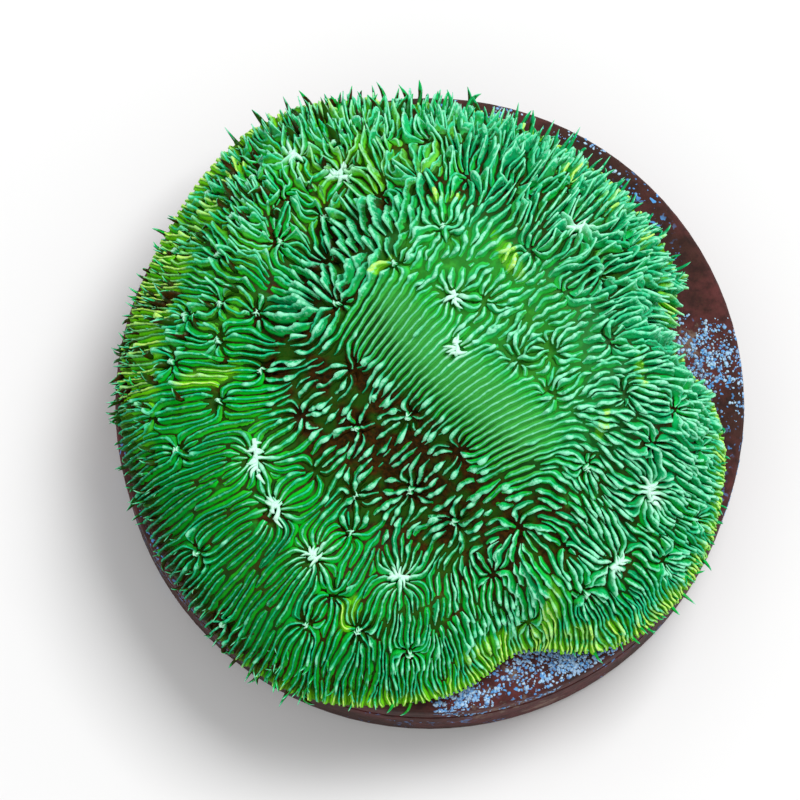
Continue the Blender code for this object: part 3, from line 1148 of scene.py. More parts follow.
def colour_setting(name, description, red, green, blue):
    """A colour setting, given as display values."""
    return FloatVectorProperty(name=name.replace("_", " ").capitalize(), description=description,
                               subtype="COLOR", size=3, min=0.0, max=1.0,
                               default=srgb(red, green, blue))


class CoralColours(bpy.types.PropertyGroup):
    __annotations__ = {name: colour_setting(name, *row) for name, row in COLOURS.items()}


class StageSettings(bpy.types.PropertyGroup):
    elevation: FloatProperty(
        name="Camera elevation", description="Angle of the camera above the floor",
        default=math.radians(78.0), subtype="ANGLE")
    distance: length_setting("Camera distance", "Distance from the camera to the disc", 250.0)
    view_width: length_setting("View width", "Width of the view at the disc's top", 40.3)
    view_shift: length_setting("View shift", "How far the view is centred to the left of the disc", 1.5)
    key_power: strength_setting("Key light", "Strength of the large soft light", 0.77)
    fill_power: strength_setting("Fill light", "Strength of the light from the other side", 0.12)
    sky: strength_setting("Sky", "Strength of the plain light from all round", 0.63)


# ------------------------------------------------------------------ making pieces
# What is made once and then shared: materials, the colony's plan and the ridge lines.
MADE = {}
# How far a ridge may reach past the margin.
OVERHANG = 0.25 * MM


def finish_named(maker, context):
    """A material made once and then shared."""
    name = maker.__name__
    if name not in MADE:
        MADE[name] = maker(context.scene.coral_colours)
    return MADE[name]


def add_piece(context, name, mesh, maker, slot, *replaced):
    """Link a finished mesh, smooth it, give it its material and tie it to the body."""
    obj = linked(name, mesh)
    mesh.materials.clear()
    mesh.materials.append(finish_named(maker, context))
    mesh.shade_smooth()
    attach(obj, BODY)
    if replaced:
        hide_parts(*replaced)


def colony_of(context):
    """The colony's plan, worked out once."""
    if "colony" not in MADE:
        MADE["colony"] = Colony(context.scene.coral_sizes)
    return MADE["colony"]


def ridge_lines(context):
    """The ridge lines, traced once."""
    if "lines" not in MADE:
        sizes = context.scene.coral_sizes
        MADE["lines"] = RidgeTracer(colony_of(context), sizes.mouth_radius, OVERHANG).fill()
    return MADE["lines"]


# How fresh, how bright in the grooves, and how pale the tissue is in each zone.
FRESH = ((blade_share, 0.30), (fin_share, 0.5), (comb_share, 0.85))
GLOWING = ((calm_share, 1.0), (right_share, 0.75), (fin_share, 0.45), (blade_share, 0.3),
           (tooth_share, 0.9), (whole_top_share, 1.0))
PALE = ((low_share, 0.25), (fin_share, 0.7), (right_share, 0.75), (moat_share, 0.5),
        (blade_share, 0.55), (top_share, 0.85), (grain_share, 0.4), (tooth_share, 0.95))


def lime_share(place, reach=1.0):
    """Fresh growth: along the margin, on parts of the apron, and in spots."""
    edge = np.exp(-(np.maximum(margin_distance(place), 0.0) / (1.15 * MM * reach)) ** 1.5)
    edge = edge * (1 - 0.8 * side_share(place, 203.0, 32.0))
    share = np.maximum.reduce((edge, 0.42 * sector_share(place, 150.0, 42.0, 8.0, 10.5),
                               strongest(place, FRESH)))
    for (x, y), half_length, half_width, turn in LIME_SPOTS:
        centre = complex(place_of(x * MM, y * MM)) / MM
        spot = oval_share(place, (centre.real, centre.imag), half_length, half_width, turn)
        share = np.maximum(share, 0.7 * spot)
    return share


def cool_share(place):
    """Teal tissue on the far and the steep side of the mound, green elsewhere."""
    zones = strongest(place, ((blade_share, 0.8), (moat_share, 0.6)))
    return np.maximum(sector_share(place, 28.0, 78.0, 5.0, 9.0), zones)


def bright_share(place):
    """Paler tissue: the smooth band, and less of it over the rest of the mound's top."""
    return np.maximum(band_share(place)[0], 0.5 * whole_top_share(place))


def glow_share(place):
    """Where the grooves are bright green rather than dark with painted shade."""
    glow = np.maximum(strongest(place, GLOWING), 0.8 * sector_share(place, 262.0, 62.0, 8.0, 11.0))
    return glow * (1 - strongest(place, ((rust_patch_share, 1.0), (grain_share, 0.5))))


def shade_share(place):
    """Painted shade: deeper green low on the steep flank, where the light falls off."""
    low = 0.3 + 0.7 * smooth_step(8.5 * MM, 15.0 * MM, np.abs(place))
    return side_share(place, 218.0, 42.0) * low


# Zones painted in the same way on the skin and on the ridges; shade is painted shade low on the steep
# flank.
ZONE_PAINTS = {"bright": bright_share, "glow": glow_share, "shade": shade_share}


def quiet_share(colony, place):
    """Ridges with dull tops: those of the steep flank, away from the corallites."""
    away = smooth_step(0.9 * MM, 2.0 * MM, colony.calice_distance(place))
    return calm_share(place) * (0.35 + 0.65 * away)


def pale_share(colony, place):
    """Where whole ridges may be pale: round the stars and by zone, less so at the margin."""
    near = smooth_step(1.9 * MM, 0.5 * MM, colony.star_distance(place))
    mouth = side_share(place, 292.0, 34.0) * low_share(place)
    pale = np.maximum.reduce((0.9 * near, 0.9 * mouth, strongest(place, PALE)))
    return pale * (0.3 + 0.7 * smooth_step(0.8 * MM, 3.6 * MM, margin_distance(place)))


def star_share(colony, place):
    """Pale middles of the strongest corallites."""
    return np.exp(-(colony.star_distance(place) / (0.52 * MM)) ** 2)


def rust_and_shade_share(colony, place):
    """Brown tissue by the band, in the moat, among the grains and round corallites; painted shade low on
    the flank.
    """
    ring = smooth_step(1.3 * MM, 0.5 * MM, colony.calice_distance(place))
    inner = smooth_step(2.5 * MM, 5.0 * MM, margin_distance(place))
    grains = 0.56 * grain_share(place) * (1 - 0.6 * oval_share(place, *TOOTH_PATCH))
    zones = strongest(place, ((rust_patch_share, 1.0), (moat_share, 0.6), (fin_share, 0.12)))
    # Painted shade low on the steep left flank, carried as brown.
    flank = side_share(place, 210.0, 46.0) * smooth_step(3.4 * MM, 0.8 * MM, margin_distance(place))
    share = (np.maximum(zones, grains) + 0.18 * inner + 0.25 * ring + flank
             + 0.16 * low_share(place))
    return np.clip(share, 0.0, 1.0) * (1 - band_share(place)[0])


class CORAL_OT_skin(bpy.types.Operator):
    """Model the colony's tissue between the ridges, and its underside"""
    bl_idname = "coral.skin"
    bl_label = "Colony skin"

    # Sectors and rings of the whole skin, rings of its top, rings of the slope under the lip.
    SECTORS = 300
    RINGS = 170
    TOP_RINGS = 150
    UNDER_RINGS = 5
    # Pit round a corallite's mouth.
    PIT_DEPTH = 0.28 * MM
    PIT_RADIUS = 0.45 * MM
    # How far the underside starts in from the margin, and how high its foot stands on the disc.
    LIP_INSET = 0.15 * MM
    FOOT_GAP = 0.01 * MM

    def execute(self, context):
        sizes = context.scene.coral_sizes
        colony = colony_of(context)
        mesh = basic_mesh("colony_skin", bmesh.ops.create_uvsphere, u_segments=self.SECTORS,
                          v_segments=self.RINGS, radius=1.0)
        co = read(mesh.vertices, "co", 3)
        ring = np.rint(np.arccos(np.clip(co[:, 2], -1, 1)) / math.pi * self.RINGS)
        angle = np.arctan2(co[:, 1], co[:, 0])
        place = np.minimum(ring / self.TOP_RINGS, 1.0) * full_travel(angle) * np.exp(1j * angle)
        pit = self.PIT_DEPTH * np.exp(-(colony.calice_distance(place) / self.PIT_RADIUS) ** 2)
        depth = (sizes.skin_depth + pit)[:, None]
        points = surface_point(place) - surface_normal(place) * depth
        below = ring > self.TOP_RINGS
        under = self.underside(ring - self.TOP_RINGS - 1, angle)
        points = np.where(below[:, None], under, points)
        write_points(mesh, points)
        self.unwrap(mesh, ring, angle)
        paint(mesh, "crest", np.full(place.shape, GROOVE_LEVEL))
        # Brown tissue, with painted shade low on the left flank; the underside all brown.
        paint(mesh, "rust", np.where(below, 1.0, rust_and_shade_share(colony, place)))
        paint(mesh, "lime", np.where(below, 0.0, lime_share(place)))
        paint(mesh, "cool", cool_share(place))
        for name, share in ZONE_PAINTS.items():
            paint(mesh, name, share(place))
        add_piece(context, "colony_skin", mesh, coral_tissue, "coral_skin", "coral_colony")
        return {"FINISHED"}

    def underside(self, ring, angle):
        """Points of the underside: the lip's lower edge, the slope to the foot, the flat."""
        lip_radius = margin_radius(angle) - self.LIP_INSET
        foot_radius = np.minimum(lip_radius - FOOT_INSET, FOOT_MAX_RADIUS)
        edge = DISC_THICKNESS + swing(LIP_HEIGHT, angle) - LIP_THICKNESS
        bed = DISC_THICKNESS + self.FOOT_GAP
        share = np.clip(ring / self.UNDER_RINGS, 0.0, 1.0)
        flat_rings = self.RINGS - self.TOP_RINGS - 1 - self.UNDER_RINGS
        flat = np.clip((ring - self.UNDER_RINGS) / flat_rings, 0.0, 1.0)
        radius = (lip_radius + (foot_radius - lip_radius) * share) * (1 - flat)
        return round_axis(radius, angle, edge + (bed - edge) * share ** 1.5)

    def unwrap(self, mesh, ring, angle):
        """Lay the top out as one round patch and the underside as a smaller one beside it."""
        corners = read(mesh.loops, "vertex_index", kind=int)
        totals = read(mesh.polygons, "loop_total", kind=int)
        face = np.repeat(np.arange(len(totals)), totals)
        face_ring = np.zeros(len(totals))
        np.maximum.at(face_ring, face, ring[corners])
        below = face_ring[face] > self.TOP_RINGS
        way = np.exp(1j * angle[corners])
        top = 0.40 * ring[corners] / self.TOP_RINGS * way + complex(0.41, 0.41)
        depth = (self.RINGS - ring[corners]) / (self.RINGS - self.TOP_RINGS)
        bottom = 0.085 * depth * way + complex(0.905, 0.905)
        spot = np.where(below, bottom, top)
        write_uv(mesh, np.stack((spot.real, spot.imag), axis=-1))


class CORAL_OT_ridges(bpy.types.Operator):
    """Model the ridges that run from corallite to corallite, with the teeth along them"""
    bl_idname = "coral.ridges"
    bl_label = "Ridges and teeth"

    STATION_GAP = 0.088 * MM
    # Longest ridge of each joined piece.
    LENGTHS = (0.8, 1.3, 1.9, 2.6, 3.5, 4.8, 6.6, 9.0)
    # Most teeth on a ridge, and how likely they are in each zone.
    TEETH = 14
    TOOTHED = ((grain_share, 0.95), (moat_share, 0.9), (blade_share, 0.95), (right_share, 0.8),
               (fin_share, 0.75), (tooth_share, 0.95), (top_share, 0.92))
    # Farthest that the next ridge is looked for, and the least and most that a ridge spreads.
    WIDEST_GAP = 0.74 * MM
    NARROWEST = 0.05 * MM
    WIDEST = 0.36
    # Least height of a ridge, and what a rounded and a pointed tooth add to its half thickness.
    LEAST_HEIGHT = 0.02 * MM
    ROUNDED_THICKNESS = 0.072
    POINTED_THICKNESS = 0.010
    # How far fins lean outwards, and how far they stand up towards the far side.
    FIN_LEAN = 0.24 * MM
    FIN_SWEEP = 0.32 * MM
    # Waves along a ridge, as length and amount: sideways in its course, and in its height.
    COURSE_WAVES = ((0.8, 0.022), (1.5, 0.034))
    HEIGHT_WAVES = ((0.34, 0.07), (0.55, 0.09), (1.1, 0.10))
    # Neighbouring points that a course or a gap is averaged over.
    AVERAGED = 5

    def execute(self, context):
        sizes = context.scene.coral_sizes
        rng = np.random.default_rng(sizes.seed + 1)
        lines = [self.smoothed(line, rng) for line in ridge_lines(context)]
        lengths = np.array([np.abs(np.diff(line)).sum() for line in lines])
        self.neighbours = NeighbourMap(lines)
        shortest = 0.0
        for number, longest in enumerate(self.LENGTHS):
            chosen = np.flatnonzero((lengths >= shortest) & (lengths < longest * MM))
            shortest = longest * MM
            stations = round(shortest / self.STATION_GAP)
            if len(chosen):
                ridges = Ridges([lines[index] for index in chosen], stations)
                self.make(f"ridges_{number + 1}", ridges, chosen[:, None] + 1, rng, context)
        return {"FINISHED"}

    def smoothed(self, line, rng):
        """A line with its small kinks averaged out, and a light waviness of its own."""
        if len(line) < self.AVERAGED:
            return line
        padded = np.concatenate((line[:1] * 2 - line[2:0:-1], line, line[-1:] * 2 - line[-2:-4:-1]))
        line = np.convolve(padded, np.ones(self.AVERAGED) / self.AVERAGED, mode="same")[2:-2]
        run = run_along(line)
        wave = np.zeros(len(line))
        for length, amount in self.COURSE_WAVES:
            turn = math.tau * run / (length * rng.uniform(0.8, 1.3) * MM)
            wave += amount * MM * np.sin(turn + rng.uniform(0.0, math.tau))
        wave *= 1 - 0.7 * np.maximum(band_share(line)[0], calm_share(line))
        wave *= 1 + 0.7 * np.maximum(fin_share(line), whole_top_share(line))
        wave *= 1 - 0.6 * moat_share(line)
        ahead = np.gradient(line)
        return line + 1j * ahead / np.abs(ahead) * wave

    def chance(self, colony, place):
        """How likely a tooth is at a place: by zone, and more so near a corallite."""
        near = smooth_step(1.5 * MM, 0.6 * MM, colony.calice_distance(place))
        chance = (0.32 + 0.5 * near) * (1 - 0.75 * calm_share(place) * (1 - near))
        chance = np.maximum(chance, strongest(place, self.TOOTHED))
        chance *= 1 - 0.95 * smooth_step(0.25, 0.6, band_share(place)[0])
        return chance * smooth_step(0.2 * MM, 1.1 * MM, margin_distance(place))

    def teeth(self, ridges, sizes, colony, rng):
        """Strength of the teeth at each station."""
        shape = (ridges.count, self.TEETH)
        middle = ridges.place[:, [ridges.stations // 2]]
        dense = np.maximum(grain_share(middle), 0.5 * blade_share(middle))
        gap = (1.20 - 0.42 * dense) * MM * rng.uniform(0.6, 1.4, shape)
        at = np.cumsum(gap, axis=1) - gap[:, :1] * rng.uniform(0.35, 1.0, (ridges.count, 1))
        there = np.minimum(at, ridges.length)
        place = ridges.places(there)
        present = (rng.uniform(size=shape) < self.chance(colony, place)) & (at < ridges.length)
        strength = present * rng.uniform(0.45, 1.15, shape)
        long = 1 + 0.7 * moat_share(place) + 0.6 * right_share(place) + 0.45 * blade_share(place)
        half = 0.5 * sizes.tooth_length * rng.uniform(0.7, 1.3, shape) * long
        leafy = np.maximum.reduce((fin_share(place), blade_share(place), moat_share(place)))
        sharp = 2.3 - leafy + 0.9 * grain_share(place)
        skew = rng.uniform(-0.35, 0.35, shape)
        tooth = np.zeros_like(ridges.run)
        for slot in range(self.TEETH):
            away = (ridges.run - at[:, [slot]]) / half[:, [slot]]
            away = away / (1 + skew[:, [slot]] * np.sign(away))
            hump = np.exp(-np.abs(away) ** sharp[:, [slot]])
            tooth = np.maximum(tooth, strength[:, [slot]] * hump)
        return tooth

    def make(self, name, ridges, number, rng, context):
        """One joined mesh of ridges with the same number of stations."""
        sizes = context.scene.coral_sizes
        colony = colony_of(context)
        place, run, count = ridges.place, ridges.run, (ridges.count, 1)
        grain, moat, tall, fin, right, low, top, calm, crowd = (
            share(place) for share in (grain_share, moat_share, blade_share, fin_share, right_share,
                                       low_share, top_share, calm_share, tooth_share))
        band, star = band_share(place)[0], star_share(colony, place)
        loose = np.maximum.reduce((grain, 0.8 * tall, 0.7 * right, 0.6 * moat))
        tooth = self.teeth(ridges, sizes, colony, rng)
        # How high the ridge stands, with its teeth.
        end = np.minimum(run, ridges.length - run)
        taper = smooth_step(-0.05 * MM, 0.42 * MM, end)
        rough = 0.0
        for length, amount in self.HEIGHT_WAVES:
            turn = math.tau * run / (length * MM * rng.uniform(0.8, 1.2, count))
            rough = rough + amount * np.sin(turn + rng.uniform(0.0, math.tau, count))
        rough = rough * (1 - 0.6 * np.maximum(band, calm))
        left, right_side = self.widths(ridges, number, taper)
        crowded = np.clip((left + right_side) / (2 * sizes.ridge_half_width), 0.5, 1.2)
        ridge = sizes.ridge_height * rng.uniform(0.85, 1.15, count) * (0.5 + 0.5 * crowded)
        ridge = ridge * (1 - 0.15 * tall + 0.2 * moat + 0.1 * fin - 0.42 * band - 0.45 * grain)
        rise = (1 - star) * sizes.tooth_height * (0.75 + 1.75 * tall + moat + 1.3 * fin
                                                  + 0.35 * right + 0.3 * low)
        height = taper * (ridge * (1 + rough) + rise * tooth) + self.LEAST_HEIGHT
        # How much of each section it has, and how thick it is.
        pointed = np.clip(fin + 0.9 * tall + 0.8 * moat + 0.7 * right + 0.6 * low, 0, 1)
        pointed = pointed * np.clip(tooth, 0, 1)
        pointed = pointed * (1 - 0.7 * np.maximum.reduce((crowd, 0.85 * right, 0.8 * moat)))
        rounded = np.clip(tooth, 0, 1) * (1 - pointed)
        rounded = rounded * (1 - 0.4 * np.maximum(0.4 * top, right))
        plump = 1 + 0.45 * np.maximum.reduce((grain, crowd, moat))
        thick = sizes.crest_thickness * (1 + 0.8 * star * (1 - tall) + 1.5 * rough - 0.25 * band
                                         + 0.15 * top + 0.1 * right - 0.35 * grain - 0.15 * tall
                                         - 0.25 * calm - 0.15 * low - 0.2 * fin)
        extra = self.ROUNDED_THICKNESS * plump * rounded + self.POINTED_THICKNESS * pointed
        thick = (thick + extra * MM) * (0.25 + 0.75 * taper)
        # How far it leans along its course and bends across it.
        outwards = np.sign((np.gradient(place, axis=1) / np.exp(1j * np.angle(place))).real)
        lean = rng.normal(0.0, 0.08 * MM, count) + self.FIN_LEAN * outwards * (fin + tall)
        lean = tooth * lean
        bend = rng.normal(0.0, 0.06 * MM, count) * (tooth + 0.5 * loose) * (1 - 0.5 * right)
        bend = bend + (rng.normal(0.14 * MM, 0.08 * MM, count) * tooth * (tall + 0.5 * fin)
                       * (1 - star))
        point, normal, along, across = surface_frame(place)
        bars = Bars(name, ridges.count, ridges.stations)
        section, station = bars.section, bars.station
        pointed, rounded = (value[:, station, None] for value in (pointed, rounded))
        profile = (RIDGE_SECTION[section] * (1 - pointed - rounded) + GRAIN_SECTION[section] * rounded
                   + FIN_SECTION[section] * pointed)
        reach = np.where(profile[..., 0] < 0, left[:, station], right_side[:, station])
        offset = profile[..., 0] * reach + profile[..., 1] * thick[:, station]
        up = normal * height[..., None] + along * lean[..., None] + across * bend[..., None]
        up[..., 1] += self.FIN_SWEEP * fin * tooth
        rest = point - normal * sizes.skin_depth
        bars.shape(rest, across, up, np.stack((offset, profile[..., 2]), axis=-1))
        # What the material reads.
        fuller = 1 + 0.15 * rounded[..., 0] + 0.3 * pointed[..., 0] * fin[:, station]
        bars.paint("crest", np.clip(profile[..., 2] * fuller, GROOVE_LEVEL, 1.0))
        pale = pale_share(colony, place) * rng.uniform(0.1, 1.05, count) * (1 + 2.0 * rough)
        tip = 1.1 * tooth ** (1.3 + 0.9 * tall) * (1 - 0.6 * calm * (1 - star))
        bars.paint("tooth", np.clip(np.maximum(tip, pale), 0, 1))
        between = loose * (1 - np.clip(1.3 * np.maximum(tooth, pale), 0, 1))
        quiet = np.maximum(quiet_share(colony, place), 0.9 * between) * rng.uniform(0.6, 1.0, count)
        bars.paint("quiet", quiet)
        bars.paint("cool", np.clip(cool_share(place) + rng.normal(0.0, 0.28, count) * (1 - band), 0, 1))
        # Brown tissue, plus painted shadow on the faces of the fins.
        bars.paint("rust", np.clip(rust_and_shade_share(colony, place) + 0.26 * tooth * fin, 0, 1))
        fresh = lime_share(place, rng.uniform(0.7, 1.5, count)) * rng.uniform(0.7, 1.35, count)
        bars.paint("lime", np.clip(fresh, 0, 1))
        for attribute, share in ZONE_PAINTS.items():
            bars.paint(attribute, share(place))
        bars.paint("star", star)
        add_piece(context, name, bars.mesh, coral_tissue, "coral_skin")

    def widths(self, ridges, number, taper):
        """How far each ridge spreads to its left and its right, halfway to the next one."""
        place = ridges.place
        ahead = np.gradient(place, axis=1)
        left = 1j * ahead / np.abs(ahead)
        step = 0.05 * MM
        stretch = np.linalg.norm(surface_point(place + left * step) - surface_point(place), axis=-1)
        sides = []
        for way in (left, -left):
            gap = self.neighbours.gap(place, way, number, self.WIDEST_GAP)
            padded = np.concatenate((gap[:, :1], gap[:, :1], gap, gap[:, -1:], gap[:, -1:]), axis=1)
            shifted = [padded[:, shift:shift + ridges.stations] for shift in range(self.AVERAGED)]
            gap = sum(shifted) / self.AVERAGED
            width = 0.52 * gap * stretch / step * (0.4 + 0.6 * taper)
            widest = (self.WIDEST - 0.15 * grain_share(place) - 0.11 * tooth_share(place)
                      - 0.12 * right_share(place)) * MM
            sides.append(np.clip(width, self.NARROWEST, widest))
        return sides


class CORAL_OT_stars(bpy.types.Operator):
    """Model the pale branching veins in the middles of corallites, largest in the brightest"""
    bl_idname = "coral.stars"
    bl_label = "Corallite stars"

    STATIONS = 6
    # Size of the veins in a weaker corallite.
    SMALL = 0.36

    def execute(self, context):
        sizes = context.scene.coral_sizes
        colony = colony_of(context)
        rng = np.random.default_rng(sizes.seed + 2)
        veins = []
        strong = colony.centres[colony.strengths >= STAR_STRENGTH]
        for centre, strength in zip(colony.centres, colony.strengths):
            size = 1.0 if strength >= STAR_STRENGTH else self.SMALL
            likely = max(side_share(centre, 150.0, 50.0), 0.8 * side_share(centre, 245.0, 42.0))
            if size < 1.0 and rng.uniform() > likely:
                continue
            others = strong[np.abs(strong - centre) > 0.1 * MM]
            axis = others[np.argmin(np.abs(others - centre))] - centre
            axis = axis / abs(axis) * np.exp(1j * rng.normal(0.0, 0.3))
            stretch = size * max(strength / 2, 1.0) ** 3
            half = stretch * rng.uniform(0.22, 0.38) * MM
            veins.append((centre - axis * half, centre + axis * half, 0.11 * size, size))
            for arm in range(round(6 + 2.2 * stretch)):
                share = rng.uniform(-1.0, 1.0)
                turn = (1.45 - 1.0 * share) * rng.uniform(0.6, 1.2)
                way = axis * np.exp(1j * turn * (1 if arm % 2 else -1))
                root = centre + axis * half * share
                reach = size * rng.uniform(0.18, 0.62) * MM
                veins.append((root, root + way * reach, size * rng.uniform(0.06, 0.11), size))
        root, tip, girth, tone = (np.array(column) for column in zip(*veins))
        self.make(root, tip, girth * MM, tone, rng, context)
        return {"FINISHED"}

    def make(self, root, tip, girth, tone, rng, context):
        """Join all the veins in one mesh."""
        sizes = context.scene.coral_sizes
        share = np.linspace(0.0, 1.0, self.STATIONS)
        bow = rng.uniform(-0.22, 0.22, (len(root), 1)) * 1j * (tip - root)[:, None]
        place = root[:, None] + (tip - root)[:, None] * share + bow * np.sin(np.pi * share)
        point, normal, _, across = surface_frame(place)
        girth = girth[:, None] * rng.uniform(0.9, 1.12, place.shape)
        width = girth * (0.35 + 0.65 * np.sqrt(1.0 - 0.98 * share ** 3)) * (1.0 - 0.45 * share)
        height = sizes.ridge_height * (1.12 - 0.3 * share ** 2) + 0.3 * girth
        bars = Bars("corallite_stars", len(root), self.STATIONS)
        profile = np.broadcast_to(GRAIN_SECTION[bars.section], (len(root), len(bars.section), 3))
        offset = profile[..., :2].sum(axis=-1) * width[:, bars.station]
        bars.shape(point - normal * sizes.skin_depth, across, normal * height[..., None],
                   np.stack((offset, profile[..., 2]), axis=-1))
        bars.paint("crest", np.clip(profile[..., 2], 0.0, 1.0))
        bars.paint("tooth", np.ones(place.shape))
        bars.paint("star", tone[:, None] ** 0.5 * (1 - 0.75 * share ** 2))
        add_piece(context, "corallite_stars", bars.mesh, coral_tissue, "coral_skin")


class CORAL_OT_spikes(bpy.types.Operator):
    """Model the pointed spikes that stand out from the margin and the far apron"""
    bl_idname = "coral.spikes"
    bl_label = "Spikes"

    STATIONS = 9
    # Belts of spikes: direction, half width in degrees, nearest and farthest distance from the
    # margin, number for each degree, length, half width, rise above the surface.
    BELTS = (
        (205.0, 62.0, 0.0, 3.0, 1.5, 0.85, 0.140, 0.55),
        (176.0, 12.0, 0.0, 1.6, 1.6, 1.00, 0.140, 0.55),
        (150.0, 34.0, 0.3, 3.5, 0.8, 0.75, 0.130, 0.80),
        (148.0, 56.0, 2.2, 7.5, 0.35, 1.20, 0.230, 0.95),
        (88.0, 42.0, 0.2, 3.2, 0.9, 1.35, 0.170, 0.95),
        (38.0, 22.0, 0.1, 1.6, 0.8, 1.00, 0.140, 0.85),
        (322.0, 34.0, 0.0, 0.9, 0.6, 0.75, 0.110, 0.60),
    )

    def execute(self, context):
        sizes = context.scene.coral_sizes
        rng = np.random.default_rng(sizes.seed + 3)
        lines = ridge_lines(context)
        crest = np.concatenate([line[1:-1] for line in lines])
        place, measures = [], []
        for direction, spread, near, far, density, length, girth, rise in self.BELTS:
            depth = margin_distance(crest) / MM
            inside = (depth > near - 0.15) & (depth < far)
            turn = turn_from(direction, np.angle(crest))
            chosen = crest[inside & (np.abs(turn) < spread * rng.uniform(0.6, 1.0, turn.shape))]
            chosen = rng.permutation(chosen)[:round(2 * spread * density)]
            place.append(chosen)
            scale = rng.uniform(0.6, 1.15, (len(chosen), 1))
            measures.append(np.hstack((scale * length * MM, girth * scale ** 0.5 * MM,
                                       rise * np.ones(scale.shape))))
        self.make(np.concatenate(place), np.concatenate(measures), rng, sizes, context)
        return {"FINISHED"}

    def make(self, place, measures, rng, sizes, context):
        """Join all the spikes in one mesh."""
        count = len(place)
        length, girth, rise = (measures[:, [column]] for column in range(3))
        share = np.linspace(0.0, 1.0, self.STATIONS)[None, :, None]
        normal = surface_normal(place)[:, None, :]
        outwards = surface_point(place * 1.01) - surface_point(place)
        scatter = rng.normal(0.0, 0.25, (count, 3)) * np.linalg.norm(outwards, axis=-1, keepdims=True)
        outwards = unit(outwards + scatter)[:, None, :]
        foot = surface_point(place)[:, None, :] - normal * sizes.skin_depth
        rise = rise[:, :, None]
        curve = rng.uniform(-0.45, 0.45, (count, 1, 1))
        swerve = rng.normal(0.0, 0.22, (count, 1, 3))
        way = (normal * (rise * share + curve * share ** 2) + swerve * share ** 2
               + outwards * (1.2 * (1 - rise) + 0.25) * share)
        reach = np.linalg.norm(way[:, -1:], axis=-1, keepdims=True)
        scale = length[:, :, None] / np.maximum(reach, 0.7)
        centre = foot + way * scale
        along = unit(np.gradient(centre, axis=1))
        side = unit(np.cross(along, normal))
        up = unit(np.cross(side, along))
        narrowing = (1.0 - share[0, :, 0]) ** 0.8
        width = girth * (0.06 + 0.80 * narrowing)
        depth = girth * (0.08 + 1.4 * narrowing)
        bars = Bars("spikes", count, self.STATIONS)
        profile = np.broadcast_to(ROUND_SECTION[bars.section], (count, len(bars.section), 2))
        bars.shape(centre, side * width[..., None], up * depth[..., None], profile)
        out = share[:, bars.station, 0]
        pale = smooth_step(0.5, 1.0, profile[..., 1]) * (0.3 + 0.5 * out) + 0.6 * out ** 4
        bars.paint("crest", np.clip(0.08 + pale, 0.0, 1.0))
        bars.paint("tooth", 0.8 * share[0, :, 0] ** 2 * np.ones((count, 1)))
        places = place[:, None] * np.ones(self.STATIONS)
        # Brown at the roots, with painted shade on the spikes of the left flank and painted shadow on the
        # fins of the far apron.
        bars.paint("rust", 0.2 + 0.8 * np.clip(side_share(places, 205.0, 75.0)
                                               + 0.7 * side_share(places, 120.0, 60.0), 0, 1))
        bars.paint("lime", 0.2 * lime_share(places))
        bars.paint("cool", cool_share(places))
        add_piece(context, "spikes", bars.mesh, coral_tissue, "coral_skin")


class CORAL_OT_disc(bpy.types.Operator):
    """Give the disc its crusted finish"""
    bl_idname = "coral.disc"
    bl_label = "Frag disc"

    def execute(self, context):
        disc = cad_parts["frag_disc"]
        material = finish_named(crusted_ceramic, context)
        for slot in disc.material_slots:
            slot.material = material
        return {"FINISHED"}


